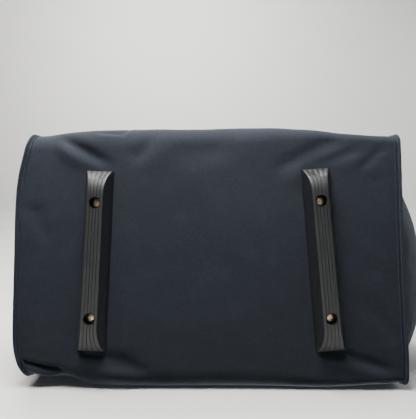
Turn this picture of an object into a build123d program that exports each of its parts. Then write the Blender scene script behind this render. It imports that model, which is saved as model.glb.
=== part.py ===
from build123d import *
import os
from math import cos, radians, sin

# A soft-sided flight bag that stands on two moulded skids screwed through its base.
# Millimetres: X runs across the bag, -Y is the front and +Z is up. The bag is drawn about the
# middle of its base, and SHIFT_Y then brings the origin under the middle of the whole box.

# --- driving dimensions -------------------------------------------------------------
WIDTH = 444.0            # wrap cloth, end seam to end seam
DEPTH = 304.0            # front face to back face
BASE_Z = 18.0            # underside of the base cloth, which is the height of a skid
ZIP_Z = 290.0            # the line where the lid's zip closes
LID_TOP = 318.0          # top face of the lid
LID_PAD = 4.0
LID_BOARD = 2.8
LID_CORNER_R = 10.0
FABRIC = 1.6             # laminated cloth
EDGE_R = 24.0            # roll where the base turns up into the front and the back
PIPING_R = 2.0
PIPING_OUT = 1.5         # centre of the piping cord, out from the seam on both sides
SEAM_GAP = 6.0           # cloth edge to zip line
FIT = 0.2                # air between pieces that are only sewn or laid together

FOAM = 5.0
BOARD = 4.0
LINING = 0.8
LINING_ROLL = 18.0
PAD = 10.0               # loose padded floor
DIVIDER = 8.0
DIVIDER_X = 72.0
DIVIDER_TOP = 250.0

SKID_X = 130.5
SKID_Y = 4.0             # the skids stand a little behind the middle of the base
SKID_TOE = {"left": 2.2, "right": -3.6}     # degrees that each skid stands out of square
SKID_LENGTH = 206.0
SKID_BASE_WIDTH = 33.5
SKID_FOOT_WIDTH = 18.2
SKID_RAMP = 29.0         # length of the curved ramp at each end
SKID_RISE = 14.0         # how far that ramp climbs
GROOVES = 4
GROOVE_PITCH = 3.5
GROOVE_WIDTH = 0.7
GROOVE_DEPTH = 0.7
SCREW_SPACING = 130.0
RECESS_R = 6.6
RECESS_DEPTH = 10.0
SCREW_R = 2.0
SCREW_HEAD_R = 5.2
SCREW_HEAD = 2.6
CROSS = 4.6              # cross recess in a screw's head
CROSS_WIDTH = 0.9
CROSS_DEPTH = 1.1
STRIP = 2.0              # steel strip under the nuts
STRIP_LENGTH = 160.0
STRIP_WIDTH = 22.0
WASHER = 1.0
WASHER_R = 5.0
NUT = 3.2
NUT_R = 4.0

POCKET_DEPTH = 45.0      # end pocket, out from the end panel
POCKET_HALF = 138.0      # half of an end pocket's width along Y
POCKET_CORNER_R = 41.0
POCKET_FLOOR = 30.0
POCKET_TOP = 206.0
POCKET_ZIP_Z = 193.0
POCKET_GAP = 4.0         # cloth edge to the end pocket's zip line
POCKET_BOTTOM_R = 26.0
HOOD_R = 6.0

FRONT_POCKET_HALF = 196.0
FRONT_POCKET_FLOOR = 60.0
FRONT_POCKET_TOP = 262.0
FRONT_POCKET_KNEE = 150.0    # height where the slanted lower face meets the upright one
FRONT_POCKET_TOE = 3.0
FRONT_POCKET_OUT = 18.0

SLEEVE_HALF = 132.0
SLEEVE_FLOOR = 60.0
SLEEVE_TOP = 262.0
SLEEVE_OUT = 3.2
SLEEVE_SLOT = 1.2
SLEEVE_HEM = 12.0

STRAP_X = 100.0
STRAP_WIDTH = 38.0
STRAP = 2.2
HANDLE_Z = 268.0         # fold line that each carry handle swings on
HANDLE_DROP = 104.0
HANDLE_OFF = 2.0         # air between a hanging handle and the strap behind it
HANDLE_FOLD = 2.0        # webbing's end to the fold line
HANDLE_R = 46.0
HANDLE_INNER_R = 18.0
GRIP_WIDTH = 26.0
GRIP_LENGTH = 128.0
GRIP_PAD = 3.5

TAPE = 1.0
TAPE_WIDTH = 12.0
COIL = 1.8
COIL_OUT = 1.2
ZIP_CORNER_R = 8.4
ZIP_END = 12.0           # how far short of the back face the main zip stops
TUCK = 0.1               # a tape lies this far inside its cloth

SLIDER_LENGTH = 14.0
SLIDER = 3.0
SLIDER_CORNER_R = 2.5
LUG_X = 4.2
BAR_R = 1.0
BAR_OUT = 2.6            # centre of the pull's bar, out from the slider's face
EYE_R = 2.1
EYE_WIDTH = 5.6
EYE_PLAY = 0.08
PULL_LENGTH = 24.0
PULL_WIDTH = 8.0
PULL_NECK = 5.0
PULL = 1.6
MAIN_SLIDER_X = 9.0
MAIN_SLIDER_GAP = 0.3
POCKET_SLIDER_Y = -66.0
POCKET_SLIDER_GAP = 1.5

DRING_Z = 268.0
DRING_WIRE = 2.0
DRING_R = 15.0
DRING_SIDE = 4.0
TAB_WIDTH = 20.0
TAB = 2.0
TAB_EYE_R = 4.2

HX, HY = WIDTH / 2, DEPTH / 2
END_X = HX + FABRIC      # outer face of an end panel
WALL_TOP = ZIP_Z - SEAM_GAP
LINING_X = HX - FOAM - 3 * FIT
LINING_Y = HY - FABRIC - FOAM - 3 * FIT
LINING_Z = BASE_Z + FABRIC + BOARD + 2 * FIT
LINING_TOP = ZIP_Z - TAPE_WIDTH - 2.0
STRIP_Z = LINING_Z + LINING
NUT_Z = STRIP_Z + STRIP + WASHER
SCREW_TIP = NUT_Z + NUT + 1.0
PAD_Z = STRIP_Z + FIT
PAD_TOP = PAD_Z + PAD
FRONT_HANDLE_Y = -(HY + FRONT_POCKET_OUT + FIT / 2 + STRAP + HANDLE_OFF + STRAP / 2)
BACK_HANDLE_Y = HY + SLEEVE_OUT + FIT / 2 + STRAP + HANDLE_OFF + STRAP / 2
FRONT_REACH = -FRONT_HANDLE_Y + STRAP / 2 + GRIP_PAD
SHIFT_Y = (FRONT_REACH - BACK_HANDLE_Y - STRAP / 2) / 2
SIDES = {"left": -1, "right": 1}

os.makedirs("parts", exist_ok=True)


def save(piece, name):
    """Moves a finished piece into the bag's own frame, labels it and writes it as that node."""
    piece = Pos(0, SHIFT_Y, 0) * piece
    piece.label = name
    export_step(piece, f"parts/{name}.step")


def rolled(plane, width, low, high, radius):
    """A rectangle on an upright plane, with its two lower corners rounded."""
    with BuildSketch(plane) as outline:
        with BuildLine():
            corners = [(-width / 2, high), (-width / 2, low), (width / 2, low), (width / 2, high)]
            FilletPolyline(*corners, radius=radius)
            Line(corners[-1], corners[0])
        make_face()
    return outline.sketch


def right_way(part, side):
    """The piece as modelled for the right side, or its mirror image for the left."""
    return part if SIDES[side] > 0 else mirror(part, about=Plane.YZ)


def screw_places():
    """Where the four skid screws go through the base, as (x, y)."""
    places = []
    for side, sign in SIDES.items():
        toe = radians(SKID_TOE[side])
        for along in (-SCREW_SPACING / 2, SCREW_SPACING / 2):
            places.append((sign * SKID_X - along * sin(toe), SKID_Y + along * cos(toe)))
    return places


def skid_plane(side, height):
    """A level plane at that height, centred on a skid and turned with it."""
    turned = Plane.XY.rotated((0, 0, SKID_TOE[side]))
    turned.origin = (SIDES[side] * SKID_X, SKID_Y, height)
    return turned


# --- the sewn body ------------------------------------------------------------------
def make_body_wrap():
    """One length of cloth that is the front, the base and the back."""
    with BuildPart() as wrap:
        extrude(rolled(Plane.YZ, DEPTH, BASE_Z, WALL_TOP, EDGE_R), amount=HX, both=True)
        hollow = rolled(Plane.YZ, DEPTH - 2 * FABRIC, BASE_Z + FABRIC, ZIP_Z, EDGE_R - FABRIC)
        extrude(hollow, amount=HX, both=True, mode=Mode.SUBTRACT)
        rise = SEAM_GAP - FIT                      # at the back the cloth runs on up to the lid's fold
        with Locations((0, HY - FABRIC / 2, WALL_TOP + rise / 2)):
            Box(WIDTH, FABRIC, rise)
        with Locations(*[(x, y, BASE_Z) for x, y in screw_places()]):
            Cylinder(SCREW_R + FIT, 4 * FABRIC, mode=Mode.SUBTRACT)
    save(wrap.part, "body_wrap")


def make_end_panel(side):
    sign = SIDES[side]
    with BuildPart() as panel:
        face = rolled(Plane.YZ.offset(sign * HX), DEPTH, BASE_Z, WALL_TOP, EDGE_R)
        extrude(face, amount=sign * FABRIC)
    save(panel.part, f"end_panel_{side}")


def make_piping(side):
    """The covered cord in the seam round an end panel: down the front, along the base, up the back."""
    out, top = HY + PIPING_OUT, WALL_TOP - 2.0
    corners = [(-out, top), (-out, BASE_Z - PIPING_OUT), (out, BASE_Z - PIPING_OUT), (out, top)]
    with BuildPart() as piping:
        with BuildLine(Plane.YZ.offset(SIDES[side] * (END_X + PIPING_OUT))):
            cord = FilletPolyline(*corners, radius=EDGE_R + PIPING_OUT)
        with BuildSketch(Plane(origin=cord @ 0, z_dir=cord % 0)):
            Circle(PIPING_R)
        sweep()
    save(piping.part, f"piping_{side}")


def make_foam(name, middle, size):
    """A foam sheet behind the cloth of one wall, standing on the base's roll."""
    low = BASE_Z + FABRIC + EDGE_R
    with BuildPart() as foam:
        with Locations((*middle, (low + LINING_TOP) / 2)):
            Box(*size, LINING_TOP - low)
        across = Axis.Y if size[0] > size[1] else Axis.X
        fillet(foam.edges().filter_by(across), 8.0)
    save(foam.part, name)


def make_foams():
    for name, sign in (("front_foam", -1), ("back_foam", 1)):
        make_foam(name, (0, sign * (HY - FABRIC - FIT - FOAM / 2)), (WIDTH - 4 * FIT, FOAM))
    for side, sign in SIDES.items():
        width = DEPTH - 2 * (FABRIC + FOAM + 3 * FIT)
        make_foam(f"end_foam_{side}", (sign * (HX - FIT - FOAM / 2), 0), (FOAM, width))


def make_lining():
    """The cloth box that lines the main compartment, open at the top, with the four screw holes."""
    with BuildPart() as lining:
        face = rolled(Plane.YZ, 2 * LINING_Y, LINING_Z, LINING_TOP, LINING_ROLL)
        extrude(face, amount=LINING_X, both=True)
        hollow = rolled(Plane.YZ, 2 * (LINING_Y - LINING), STRIP_Z, ZIP_Z, LINING_ROLL - LINING)
        extrude(hollow, amount=LINING_X - LINING, both=True, mode=Mode.SUBTRACT)
        with Locations(*[(x, y, LINING_Z) for x, y in screw_places()]):
            Cylinder(SCREW_R + FIT, 4 * LINING, mode=Mode.SUBTRACT)
    save(lining.part, "lining")


def make_base_board():
    """The stiff sheet that the skids are screwed to, between the base cloth and the lining."""
    with BuildPart() as board:
        with BuildSketch(Plane.XY.offset(BASE_Z + FABRIC + FIT)):
            RectangleRounded(WIDTH - 2 * FOAM - 8.0, DEPTH - 2 * EDGE_R, 12.0)
        extrude(amount=BOARD)
        with Locations(*[(x, y, BASE_Z) for x, y in screw_places()]):
            Cylinder(SCREW_R + FIT, 6 * BOARD, mode=Mode.SUBTRACT)
    save(board.part, "base_board")


def make_floor_pad():
    """The loose padded floor, relieved underneath over the two rows of nuts."""
    with BuildPart() as pad:
        with BuildSketch(Plane.XY.offset(PAD_Z)):
            RectangleRounded(2 * (LINING_X - LINING) - 4.0, DEPTH - 2 * EDGE_R, 9.0)
        extrude(amount=PAD)
        for side in SIDES:
            with BuildSketch(skid_plane(side, PAD_Z)):
                RectangleRounded(STRIP_WIDTH + 6.0, STRIP_LENGTH + 6.0, 4.0)
            extrude(amount=SCREW_TIP + 0.8 - PAD_Z, mode=Mode.SUBTRACT)
    save(pad.part, "floor_pad")


def make_divider(side):
    """A padded divider, held across the main compartment by hook and loop."""
    low = PAD_TOP + FIT
    with BuildPart() as divider:
        with Locations((SIDES[side] * DIVIDER_X, 0, (low + DIVIDER_TOP) / 2)):
            Box(DIVIDER, 2 * (LINING_Y - LINING - FIT), DIVIDER_TOP - low)
        crosswise = divider.edges().filter_by(Axis.X)
        fillet(crosswise.group_by(Axis.Z)[0], LINING_ROLL - 2.0)
        fillet(divider.edges().filter_by(Axis.X).group_by(Axis.Z)[-1], 10.0)
    save(divider.part, f"divider_{side}")


# --- skids and their fasteners ------------------------------------------------------
def skid_side(plane, inset):
    """A skid's side view: a level foot, a curved ramp at each end, and the flat that meets the cloth."""
    half, flat = SKID_LENGTH / 2, SKID_LENGTH / 2 - SKID_RAMP
    with BuildSketch(plane) as view:
        with BuildLine():
            Line((-flat, inset), (flat, inset))
            for sign in (-1, 1):
                end = (sign * half, SKID_RISE + inset)
                TangentArc((sign * flat, inset), end, tangent=(sign, 0))
                Line(end, (sign * half, BASE_Z))
            Line((-half, BASE_Z), (half, BASE_Z))
        make_face()
    return view.sketch


def skid_ribs():
    """The ribs between and beside the grooves of a skid's foot, as (lowest x, width)."""
    edge = GROOVE_PITCH * (GROOVES - 1) / 2 + GROOVE_WIDTH / 2
    ribs = [(-SKID_BASE_WIDTH, SKID_BASE_WIDTH - edge), (edge, SKID_BASE_WIDTH - edge)]
    for i in range(GROOVES - 1):
        ribs.append((-edge + GROOVE_WIDTH + i * GROOVE_PITCH, GROOVE_PITCH - GROOVE_WIDTH))
    return ribs


def make_skid(side):
    """A moulded runner, drafted at the sides, ramped at the ends and grooved along its foot."""
    with BuildPart() as skid:
        extrude(skid_side(Plane.YZ, GROOVE_DEPTH), amount=SKID_BASE_WIDTH, both=True)
        for low, width in skid_ribs():
            extrude(skid_side(Plane.YZ.offset(low), 0), amount=width)
        with BuildSketch(Plane.XZ):
            foot, base = SKID_FOOT_WIDTH / 2, SKID_BASE_WIDTH / 2
            with BuildLine():
                Polyline((-foot, 0), (foot, 0), (base, BASE_Z), (-base, BASE_Z), close=True)
            make_face()
        extrude(amount=SKID_LENGTH, both=True, mode=Mode.INTERSECT)
        ends = [(0, -SCREW_SPACING / 2), (0, SCREW_SPACING / 2)]
        with Locations(*[(x, y, RECESS_DEPTH / 2) for x, y in ends]):
            Cylinder(RECESS_R, RECESS_DEPTH, mode=Mode.SUBTRACT)
        with Locations(*[(x, y, BASE_Z) for x, y in ends]):
            Cylinder(SCREW_R + FIT, 2 * BASE_Z, mode=Mode.SUBTRACT)
    save(skid_plane(side, 0).location * skid.part, f"skid_{side}")


def make_skid_fasteners():
    """Pan-head screws up through the skids, with steel strips, washers and nuts inside the bag."""
    places = screw_places()
    with BuildPart() as screws:
        with Locations(*[(x, y, RECESS_DEPTH - SCREW_HEAD / 2) for x, y in places]):
            Cylinder(SCREW_HEAD_R, SCREW_HEAD)
        with Locations(*[(x, y, (RECESS_DEPTH + SCREW_TIP) / 2) for x, y in places]):
            Cylinder(SCREW_R, SCREW_TIP - RECESS_DEPTH)
        fillet(screws.edges().filter_by(GeomType.CIRCLE).group_by(Axis.Z)[0], 1.6)
        with Locations(*[(x, y, RECESS_DEPTH - SCREW_HEAD) for x, y in places]):
            Box(CROSS, CROSS_WIDTH, 2 * CROSS_DEPTH, mode=Mode.SUBTRACT)
            Box(CROSS_WIDTH, CROSS, 2 * CROSS_DEPTH, mode=Mode.SUBTRACT)
    save(screws.part, "skid_screws")

    with BuildPart() as washers:
        with Locations(*[(x, y, STRIP_Z + STRIP + WASHER / 2) for x, y in places]):
            Cylinder(WASHER_R, WASHER)
            Cylinder(SCREW_R + FIT, WASHER, mode=Mode.SUBTRACT)
    save(washers.part, "skid_washers")

    with BuildPart() as nuts:
        with BuildSketch(Plane.XY.offset(NUT_Z)):
            with Locations(*places):
                RegularPolygon(NUT_R, 6)
                Circle(SCREW_R + FIT / 4, mode=Mode.SUBTRACT)
        extrude(amount=NUT)
    save(nuts.part, "skid_nuts")

    with BuildPart() as strips:
        for side in SIDES:
            with BuildSketch(skid_plane(side, STRIP_Z)):
                RectangleRounded(STRIP_WIDTH, STRIP_LENGTH, 4.0)
                with Locations((0, -SCREW_SPACING / 2), (0, SCREW_SPACING / 2)):
                    Circle(SCREW_R + FIT, mode=Mode.SUBTRACT)
            extrude(amount=STRIP)
    save(strips.part, "nut_strips")


# --- lid and main zip ---------------------------------------------------------------
def make_lid():
    with BuildPart() as panel:
        with BuildSketch(Plane.XY.offset(LID_TOP - LID_PAD)):
            RectangleRounded(2 * END_X, DEPTH, LID_CORNER_R)
        extrude(amount=LID_PAD)
    save(panel.part, "lid_panel")

    with BuildPart() as skirt:
        with BuildSketch(Plane.XY.offset(ZIP_Z + SEAM_GAP)):
            RectangleRounded(2 * END_X, DEPTH, LID_CORNER_R)
            RectangleRounded(2 * HX, DEPTH - 2 * FABRIC, LID_CORNER_R - FABRIC, mode=Mode.SUBTRACT)
        extrude(amount=LID_TOP - LID_PAD - FIT / 2 - ZIP_Z - SEAM_GAP)
        drop = SEAM_GAP - FIT                      # at the back the cloth runs on down to the fold
        with Locations((0, HY - FABRIC / 2, ZIP_Z + SEAM_GAP - drop / 2)):
            Box(2 * (END_X - LID_CORNER_R), FABRIC, drop)
    save(skirt.part, "lid_skirt")

    with BuildPart() as board:
        with BuildSketch(Plane.XY.offset(LID_TOP - LID_PAD - FIT - LID_BOARD)):
            RectangleRounded(WIDTH - 6.0, DEPTH - 10.0, LID_CORNER_R)
        extrude(amount=LID_BOARD)
    save(board.part, "lid_board")

    with BuildPart() as piping:
        x, y = END_X + PIPING_OUT, HY + PIPING_OUT
        with BuildLine(Plane.XY.offset(LID_TOP + PIPING_OUT)):
            rim = [(-x, -y), (x, -y), (x, y), (-x, y)]
            cord = FilletPolyline(*rim, radius=LID_CORNER_R + PIPING_OUT, close=True)
        with BuildSketch(Plane(origin=cord @ 0, z_dir=cord % 0)):
            Circle(PIPING_R)
        sweep()
    save(piping.part, "lid_piping")


def zip_band(name, low, high, out, thick):
    """A band round the front and both ends at the main zip, out from the tape's outer face."""
    x, y, corner = HX - TUCK + out, HY - FABRIC - TUCK + out, ZIP_CORNER_R + out
    with BuildPart() as band:
        with BuildSketch(Plane.XY.offset(low)):
            RectangleRounded(2 * x, 2 * y, corner)
            RectangleRounded(2 * (x - thick), 2 * (y - thick), corner - thick, mode=Mode.SUBTRACT)
            with Locations((0, HY)):
                Rectangle(2 * WIDTH, 2 * ZIP_END, mode=Mode.SUBTRACT)
        extrude(amount=high - low)
    save(band.part, name)


def make_main_zip():
    zip_band("main_zip_lower_tape", ZIP_Z - TAPE_WIDTH, ZIP_Z - FIT - COIL, 0, TAPE)
    zip_band("main_zip_lower_coil", ZIP_Z - FIT / 2 - COIL, ZIP_Z - FIT / 2, COIL_OUT, TAPE + COIL_OUT)
    zip_band("main_zip_upper_tape", ZIP_Z + FIT + COIL, ZIP_Z + TAPE_WIDTH, 0, TAPE)
    zip_band("main_zip_upper_coil", ZIP_Z + FIT / 2, ZIP_Z + FIT / 2 + COIL, COIL_OUT, TAPE + COIL_OUT)


# --- zip sliders and pulls ----------------------------------------------------------
def make_slider(name, plane, height):
    """A slider and its pull on a face: the plane's X runs along the zip, its Y up, its Z outward."""
    bar = Location((0, 0, SLIDER + BAR_OUT), (0, 90, 0))
    with BuildPart() as slider:
        with BuildSketch(Plane.XY):
            RectangleRounded(SLIDER_LENGTH, height, SLIDER_CORNER_R)
        extrude(amount=SLIDER)
        with Locations((-LUG_X, 0, SLIDER + BAR_OUT / 2), (LUG_X, 0, SLIDER + BAR_OUT / 2)):
            Box(1.6, 3.0, BAR_OUT + 2 * BAR_R)
        with Locations(bar):
            Cylinder(BAR_R, 2 * LUG_X)
    save(plane.location * slider.part, f"{name}_slider")

    with BuildPart() as pull:
        with Locations(bar):
            Cylinder(EYE_R, EYE_WIDTH)
        with BuildSketch(Plane.XY.offset(SLIDER + BAR_OUT + EYE_R - PULL)):
            with Locations((0, -PULL_NECK / 2)):
                Rectangle(EYE_WIDTH, PULL_NECK)
            with Locations((0, -(PULL_LENGTH + PULL_NECK - 1.0) / 2)):
                RectangleRounded(PULL_WIDTH, PULL_LENGTH - PULL_NECK + 1.0, 2.4)
        extrude(amount=PULL)
        with Locations(bar):
            Cylinder(BAR_R + EYE_PLAY, 2 * PULL_WIDTH, mode=Mode.SUBTRACT)
    save(plane.location * pull.part, f"{name}_pull")


def make_sliders():
    face = -(HY - FABRIC - TUCK + COIL_OUT + MAIN_SLIDER_GAP)
    coil = END_X + POCKET_DEPTH - FABRIC - TUCK + COIL_OUT
    for side, sign in SIDES.items():
        place = Plane(origin=(sign * MAIN_SLIDER_X, face, ZIP_Z), x_dir=(1, 0, 0), z_dir=(0, -1, 0))
        make_slider(f"main_zip_{side}", place, 2 * SEAM_GAP - 1.4)
        out = (sign * (coil + POCKET_SLIDER_GAP), POCKET_SLIDER_Y, POCKET_ZIP_Z)
        place = Plane(origin=out, x_dir=(0, sign, 0), z_dir=(sign, 0, 0))
        make_slider(f"{side}_pocket", place, 2 * POCKET_GAP - 0.8)


# --- pockets ------------------------------------------------------------------------
def pocket_form(inset, low, high, low_r=0, high_r=0):
    """A D-shaped block, in from the right end pocket's face by an inset, with its outer rims rolled."""
    near, far, half = END_X + FIT, END_X + POCKET_DEPTH - inset, POCKET_HALF - inset
    with BuildPart() as form:
        with BuildSketch(Plane.XY.offset(low)):
            with BuildLine():
                corners = [(near, -half), (far, -half), (far, half), (near, half)]
                FilletPolyline(*corners, radius=POCKET_CORNER_R - inset)
                Line(corners[-1], corners[0])
            make_face()
        extrude(amount=high - low)
        for group, radius in ((0, low_r), (-1, high_r)):
            if radius:
                rim = form.edges().group_by(Axis.Z)[group]
                fillet(rim.filter_by(lambda edge: edge.center().X > near + 1), radius)
    return form.part


def make_end_pocket(side):
    wall_top = POCKET_ZIP_Z - POCKET_GAP
    with BuildPart() as pocket:
        add(pocket_form(0, POCKET_FLOOR, wall_top, low_r=POCKET_BOTTOM_R))
        hollow = pocket_form(FABRIC, POCKET_FLOOR + FABRIC, ZIP_Z, low_r=POCKET_BOTTOM_R - FABRIC)
        add(hollow, mode=Mode.SUBTRACT)
    save(right_way(pocket.part, side), f"end_pocket_{side}")

    with BuildPart() as hood:
        add(pocket_form(0, POCKET_ZIP_Z + POCKET_GAP, POCKET_TOP, high_r=HOOD_R))
        hollow = pocket_form(FABRIC, 0, POCKET_TOP - FABRIC, high_r=HOOD_R - FABRIC)
        add(hollow, mode=Mode.SUBTRACT)
    save(right_way(hood.part, side), f"{side}_pocket_hood")

    edge = FABRIC + TUCK
    bands = {
        "lower": ((POCKET_ZIP_Z - 2 * POCKET_GAP, 0), (POCKET_ZIP_Z - FIT / 2 - COIL, COIL_OUT)),
        "upper": ((POCKET_ZIP_Z + FIT / 2, 0), (POCKET_ZIP_Z + FIT / 2, COIL_OUT)),
    }
    tops = {
        "lower": (POCKET_ZIP_Z - FIT / 2, POCKET_ZIP_Z - FIT / 2),
        "upper": (POCKET_TOP - HOOD_R - FIT, POCKET_ZIP_Z + FIT / 2 + COIL),
    }
    for half in bands:
        with BuildPart() as zipper:
            for (low, out), high in zip(bands[half], tops[half]):
                add(pocket_form(edge - out, low, high))
            add(pocket_form(edge + TAPE, 0, ZIP_Z), mode=Mode.SUBTRACT)
        save(right_way(zipper.part, side), f"{side}_pocket_{half}_zip")


def front_face(out):
    """Points of the front pocket's face from its foot to its top, moved out by a distance."""
    return [
        (-HY - FRONT_POCKET_TOE - out, FRONT_POCKET_FLOOR),
        (-HY - FRONT_POCKET_OUT - out, FRONT_POCKET_KNEE),
        (-HY - FRONT_POCKET_OUT - out, FRONT_POCKET_TOP),
    ]


def make_front_pocket():
    """The wide slip pocket on the front, open at the top; the bag's own front is its back wall."""
    back, floor = -HY - FIT, FRONT_POCKET_FLOOR + FABRIC
    lip, knee, top = front_face(-FABRIC)
    with BuildPart() as pocket:
        with BuildSketch(Plane.YZ):
            with BuildLine():
                Polyline((back, FRONT_POCKET_FLOOR), *front_face(0), (back, FRONT_POCKET_TOP), close=True)
            make_face()
        extrude(amount=FRONT_POCKET_HALF, both=True)
        with BuildSketch(Plane.YZ):
            with BuildLine():
                Polyline((back, floor), (lip[0], floor), knee, top, (back, FRONT_POCKET_TOP), close=True)
            make_face()
        extrude(amount=FRONT_POCKET_HALF - FABRIC, both=True, mode=Mode.SUBTRACT)
    save(pocket.part, "front_pocket")


def make_back_sleeve():
    """The flat sleeve on the back that slips over a trolley handle, open above and below."""
    with BuildPart() as sleeve:
        with BuildSketch(Plane.XY.offset(SLEEVE_FLOOR)):
            with Locations((0, HY + (SLEEVE_OUT + FIT) / 2)):
                Rectangle(2 * SLEEVE_HALF, SLEEVE_OUT - FIT)
            with Locations((0, HY + FIT + SLEEVE_SLOT / 2)):
                Rectangle(2 * (SLEEVE_HALF - SLEEVE_HEM), SLEEVE_SLOT, mode=Mode.SUBTRACT)
        extrude(amount=SLEEVE_TOP - SLEEVE_FLOOR)
    save(sleeve.part, "back_sleeve")


# --- straps, handles and D-rings ----------------------------------------------------
def make_straps():
    """Webbing sewn down the front pocket and the back sleeve, up to the fold of each handle."""
    top = HANDLE_Z - HANDLE_FOLD
    inner, outer = front_face(FIT / 2), front_face(FIT / 2 + STRAP)
    with BuildPart() as front:
        for sign in SIDES.values():
            with BuildSketch(Plane.YZ.offset(sign * STRAP_X)):
                with BuildLine():
                    ends = [(inner[2][0], top), (outer[2][0], top)]
                    Polyline(inner[0], inner[1], *ends, outer[1], outer[0], close=True)
                make_face()
            extrude(amount=STRAP_WIDTH / 2, both=True)
    save(front.part, "front_straps")

    middle = HY + SLEEVE_OUT + FIT / 2 + STRAP / 2
    with BuildPart() as back:
        with Locations(*[(sign * STRAP_X, middle, (top + SLEEVE_FLOOR) / 2) for sign in (-1, 1)]):
            Box(STRAP_WIDTH, STRAP, top - SLEEVE_FLOOR)
    save(back.part, "back_straps")


def make_handle(name, middle):
    """A carry handle that hangs flat from its fold line: two legs, with a narrower grip between them."""
    top, low = HANDLE_Z - HANDLE_FOLD, HANDLE_Z - HANDLE_DROP
    reach = STRAP_X + STRAP_WIDTH / 2
    gap = reach - STRAP_WIDTH
    plane = Plane.XZ.offset(-middle)
    with BuildPart() as loop:
        extrude(rolled(plane, 2 * reach, low, top, HANDLE_R), amount=STRAP / 2, both=True)
        hollow = rolled(plane, 2 * gap, low + GRIP_WIDTH, HANDLE_Z, HANDLE_INNER_R)
        extrude(hollow, amount=STRAP, both=True, mode=Mode.SUBTRACT)
    save(loop.part, name)


def make_handle_wrap():
    """The padded wrap that closes round the front handle's grip."""
    with BuildPart() as wrap:
        with BuildSketch(Plane.YZ):
            with Locations((FRONT_HANDLE_Y, HANDLE_Z - HANDLE_DROP + GRIP_WIDTH / 2)):
                RectangleRounded(STRAP + 2 * GRIP_PAD, GRIP_WIDTH + 2 * GRIP_PAD, 4.0)
                Rectangle(STRAP + FIT, GRIP_WIDTH + FIT, mode=Mode.SUBTRACT)
        extrude(amount=GRIP_LENGTH / 2, both=True)
    save(wrap.part, "handle_wrap")


def make_dring(side):
    """A webbing tab sewn under the zip at an end, and the D-ring that swings in its loop."""
    bar_x = END_X + FIT + TAB_EYE_R
    tab_top = WALL_TOP - 1.0
    with BuildPart() as tab:
        with Locations((END_X + FIT + TAB / 2, 0, (DRING_Z + tab_top) / 2)):
            Box(TAB, TAB_WIDTH, tab_top - DRING_Z)
        with Locations(Location((bar_x, 0, DRING_Z), (90, 0, 0))):
            Cylinder(TAB_EYE_R, TAB_WIDTH)
            Cylinder(DRING_WIRE + FIT, TAB_WIDTH, mode=Mode.SUBTRACT)
    save(right_way(tab.part, side), f"dring_tab_{side}")

    with BuildPart() as ring:
        with BuildLine(Plane(origin=(bar_x, 0, DRING_Z), x_dir=(0, 1, 0), z_dir=(1, 0, 0))):
            low = -DRING_SIDE - DRING_R
            corners = [(DRING_R, 0), (DRING_R, low), (-DRING_R, low), (-DRING_R, 0)]
            radii = [2.2 * DRING_WIRE, DRING_R - 0.5, DRING_R - 0.5, 2.2 * DRING_WIRE]
            wire = FilletPolyline(*corners, radius=radii, close=True)
        with BuildSketch(Plane(origin=wire @ 0, z_dir=wire % 0)):
            Circle(DRING_WIRE)
        sweep()
    save(right_way(ring.part, side), f"dring_{side}")


make_body_wrap()
make_foams()
make_lining()
make_base_board()
make_floor_pad()
make_skid_fasteners()
make_lid()
make_main_zip()
make_sliders()
make_front_pocket()
make_back_sleeve()
make_straps()
make_handle("handle_front_loop", FRONT_HANDLE_Y)
make_handle("handle_back_loop", BACK_HANDLE_Y)
make_handle_wrap()
for side in SIDES:
    make_end_panel(side)
    make_piping(side)
    make_divider(side)
    make_skid(side)
    make_end_pocket(side)
    make_dring(side)
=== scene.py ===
import math

import bmesh
import bpy
import numpy as np
from mathutils import Matrix, Vector, noise


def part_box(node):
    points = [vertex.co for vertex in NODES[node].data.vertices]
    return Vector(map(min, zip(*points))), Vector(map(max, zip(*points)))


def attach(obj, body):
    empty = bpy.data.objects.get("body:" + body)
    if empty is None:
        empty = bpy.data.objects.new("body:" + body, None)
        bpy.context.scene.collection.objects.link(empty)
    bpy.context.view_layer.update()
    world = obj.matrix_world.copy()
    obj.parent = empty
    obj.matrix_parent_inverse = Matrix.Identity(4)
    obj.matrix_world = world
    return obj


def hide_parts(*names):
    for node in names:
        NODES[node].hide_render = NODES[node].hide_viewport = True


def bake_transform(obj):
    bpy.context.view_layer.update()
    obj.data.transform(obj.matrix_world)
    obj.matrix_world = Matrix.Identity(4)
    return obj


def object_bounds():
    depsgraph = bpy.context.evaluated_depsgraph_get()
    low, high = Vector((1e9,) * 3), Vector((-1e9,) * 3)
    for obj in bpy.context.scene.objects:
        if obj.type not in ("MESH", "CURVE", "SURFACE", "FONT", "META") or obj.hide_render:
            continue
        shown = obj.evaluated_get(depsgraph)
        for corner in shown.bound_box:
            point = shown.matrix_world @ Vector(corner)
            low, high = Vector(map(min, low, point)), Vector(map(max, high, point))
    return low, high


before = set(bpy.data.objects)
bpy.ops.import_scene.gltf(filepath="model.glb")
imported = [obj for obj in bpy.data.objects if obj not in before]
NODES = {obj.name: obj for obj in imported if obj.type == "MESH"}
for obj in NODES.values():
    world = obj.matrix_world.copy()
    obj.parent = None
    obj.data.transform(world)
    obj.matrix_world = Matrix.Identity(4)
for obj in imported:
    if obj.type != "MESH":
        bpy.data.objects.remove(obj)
cad_lo, cad_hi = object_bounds()
MM = 0.001


# --- what the frame says --------------------------------------------------------------
class Box:
    """A CAD node's box at rest, in metres."""

    def __init__(self, node):
        self.lo, self.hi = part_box(node)
        self.mid = (self.lo + self.hi) / 2
        self.size = self.hi - self.lo


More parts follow.
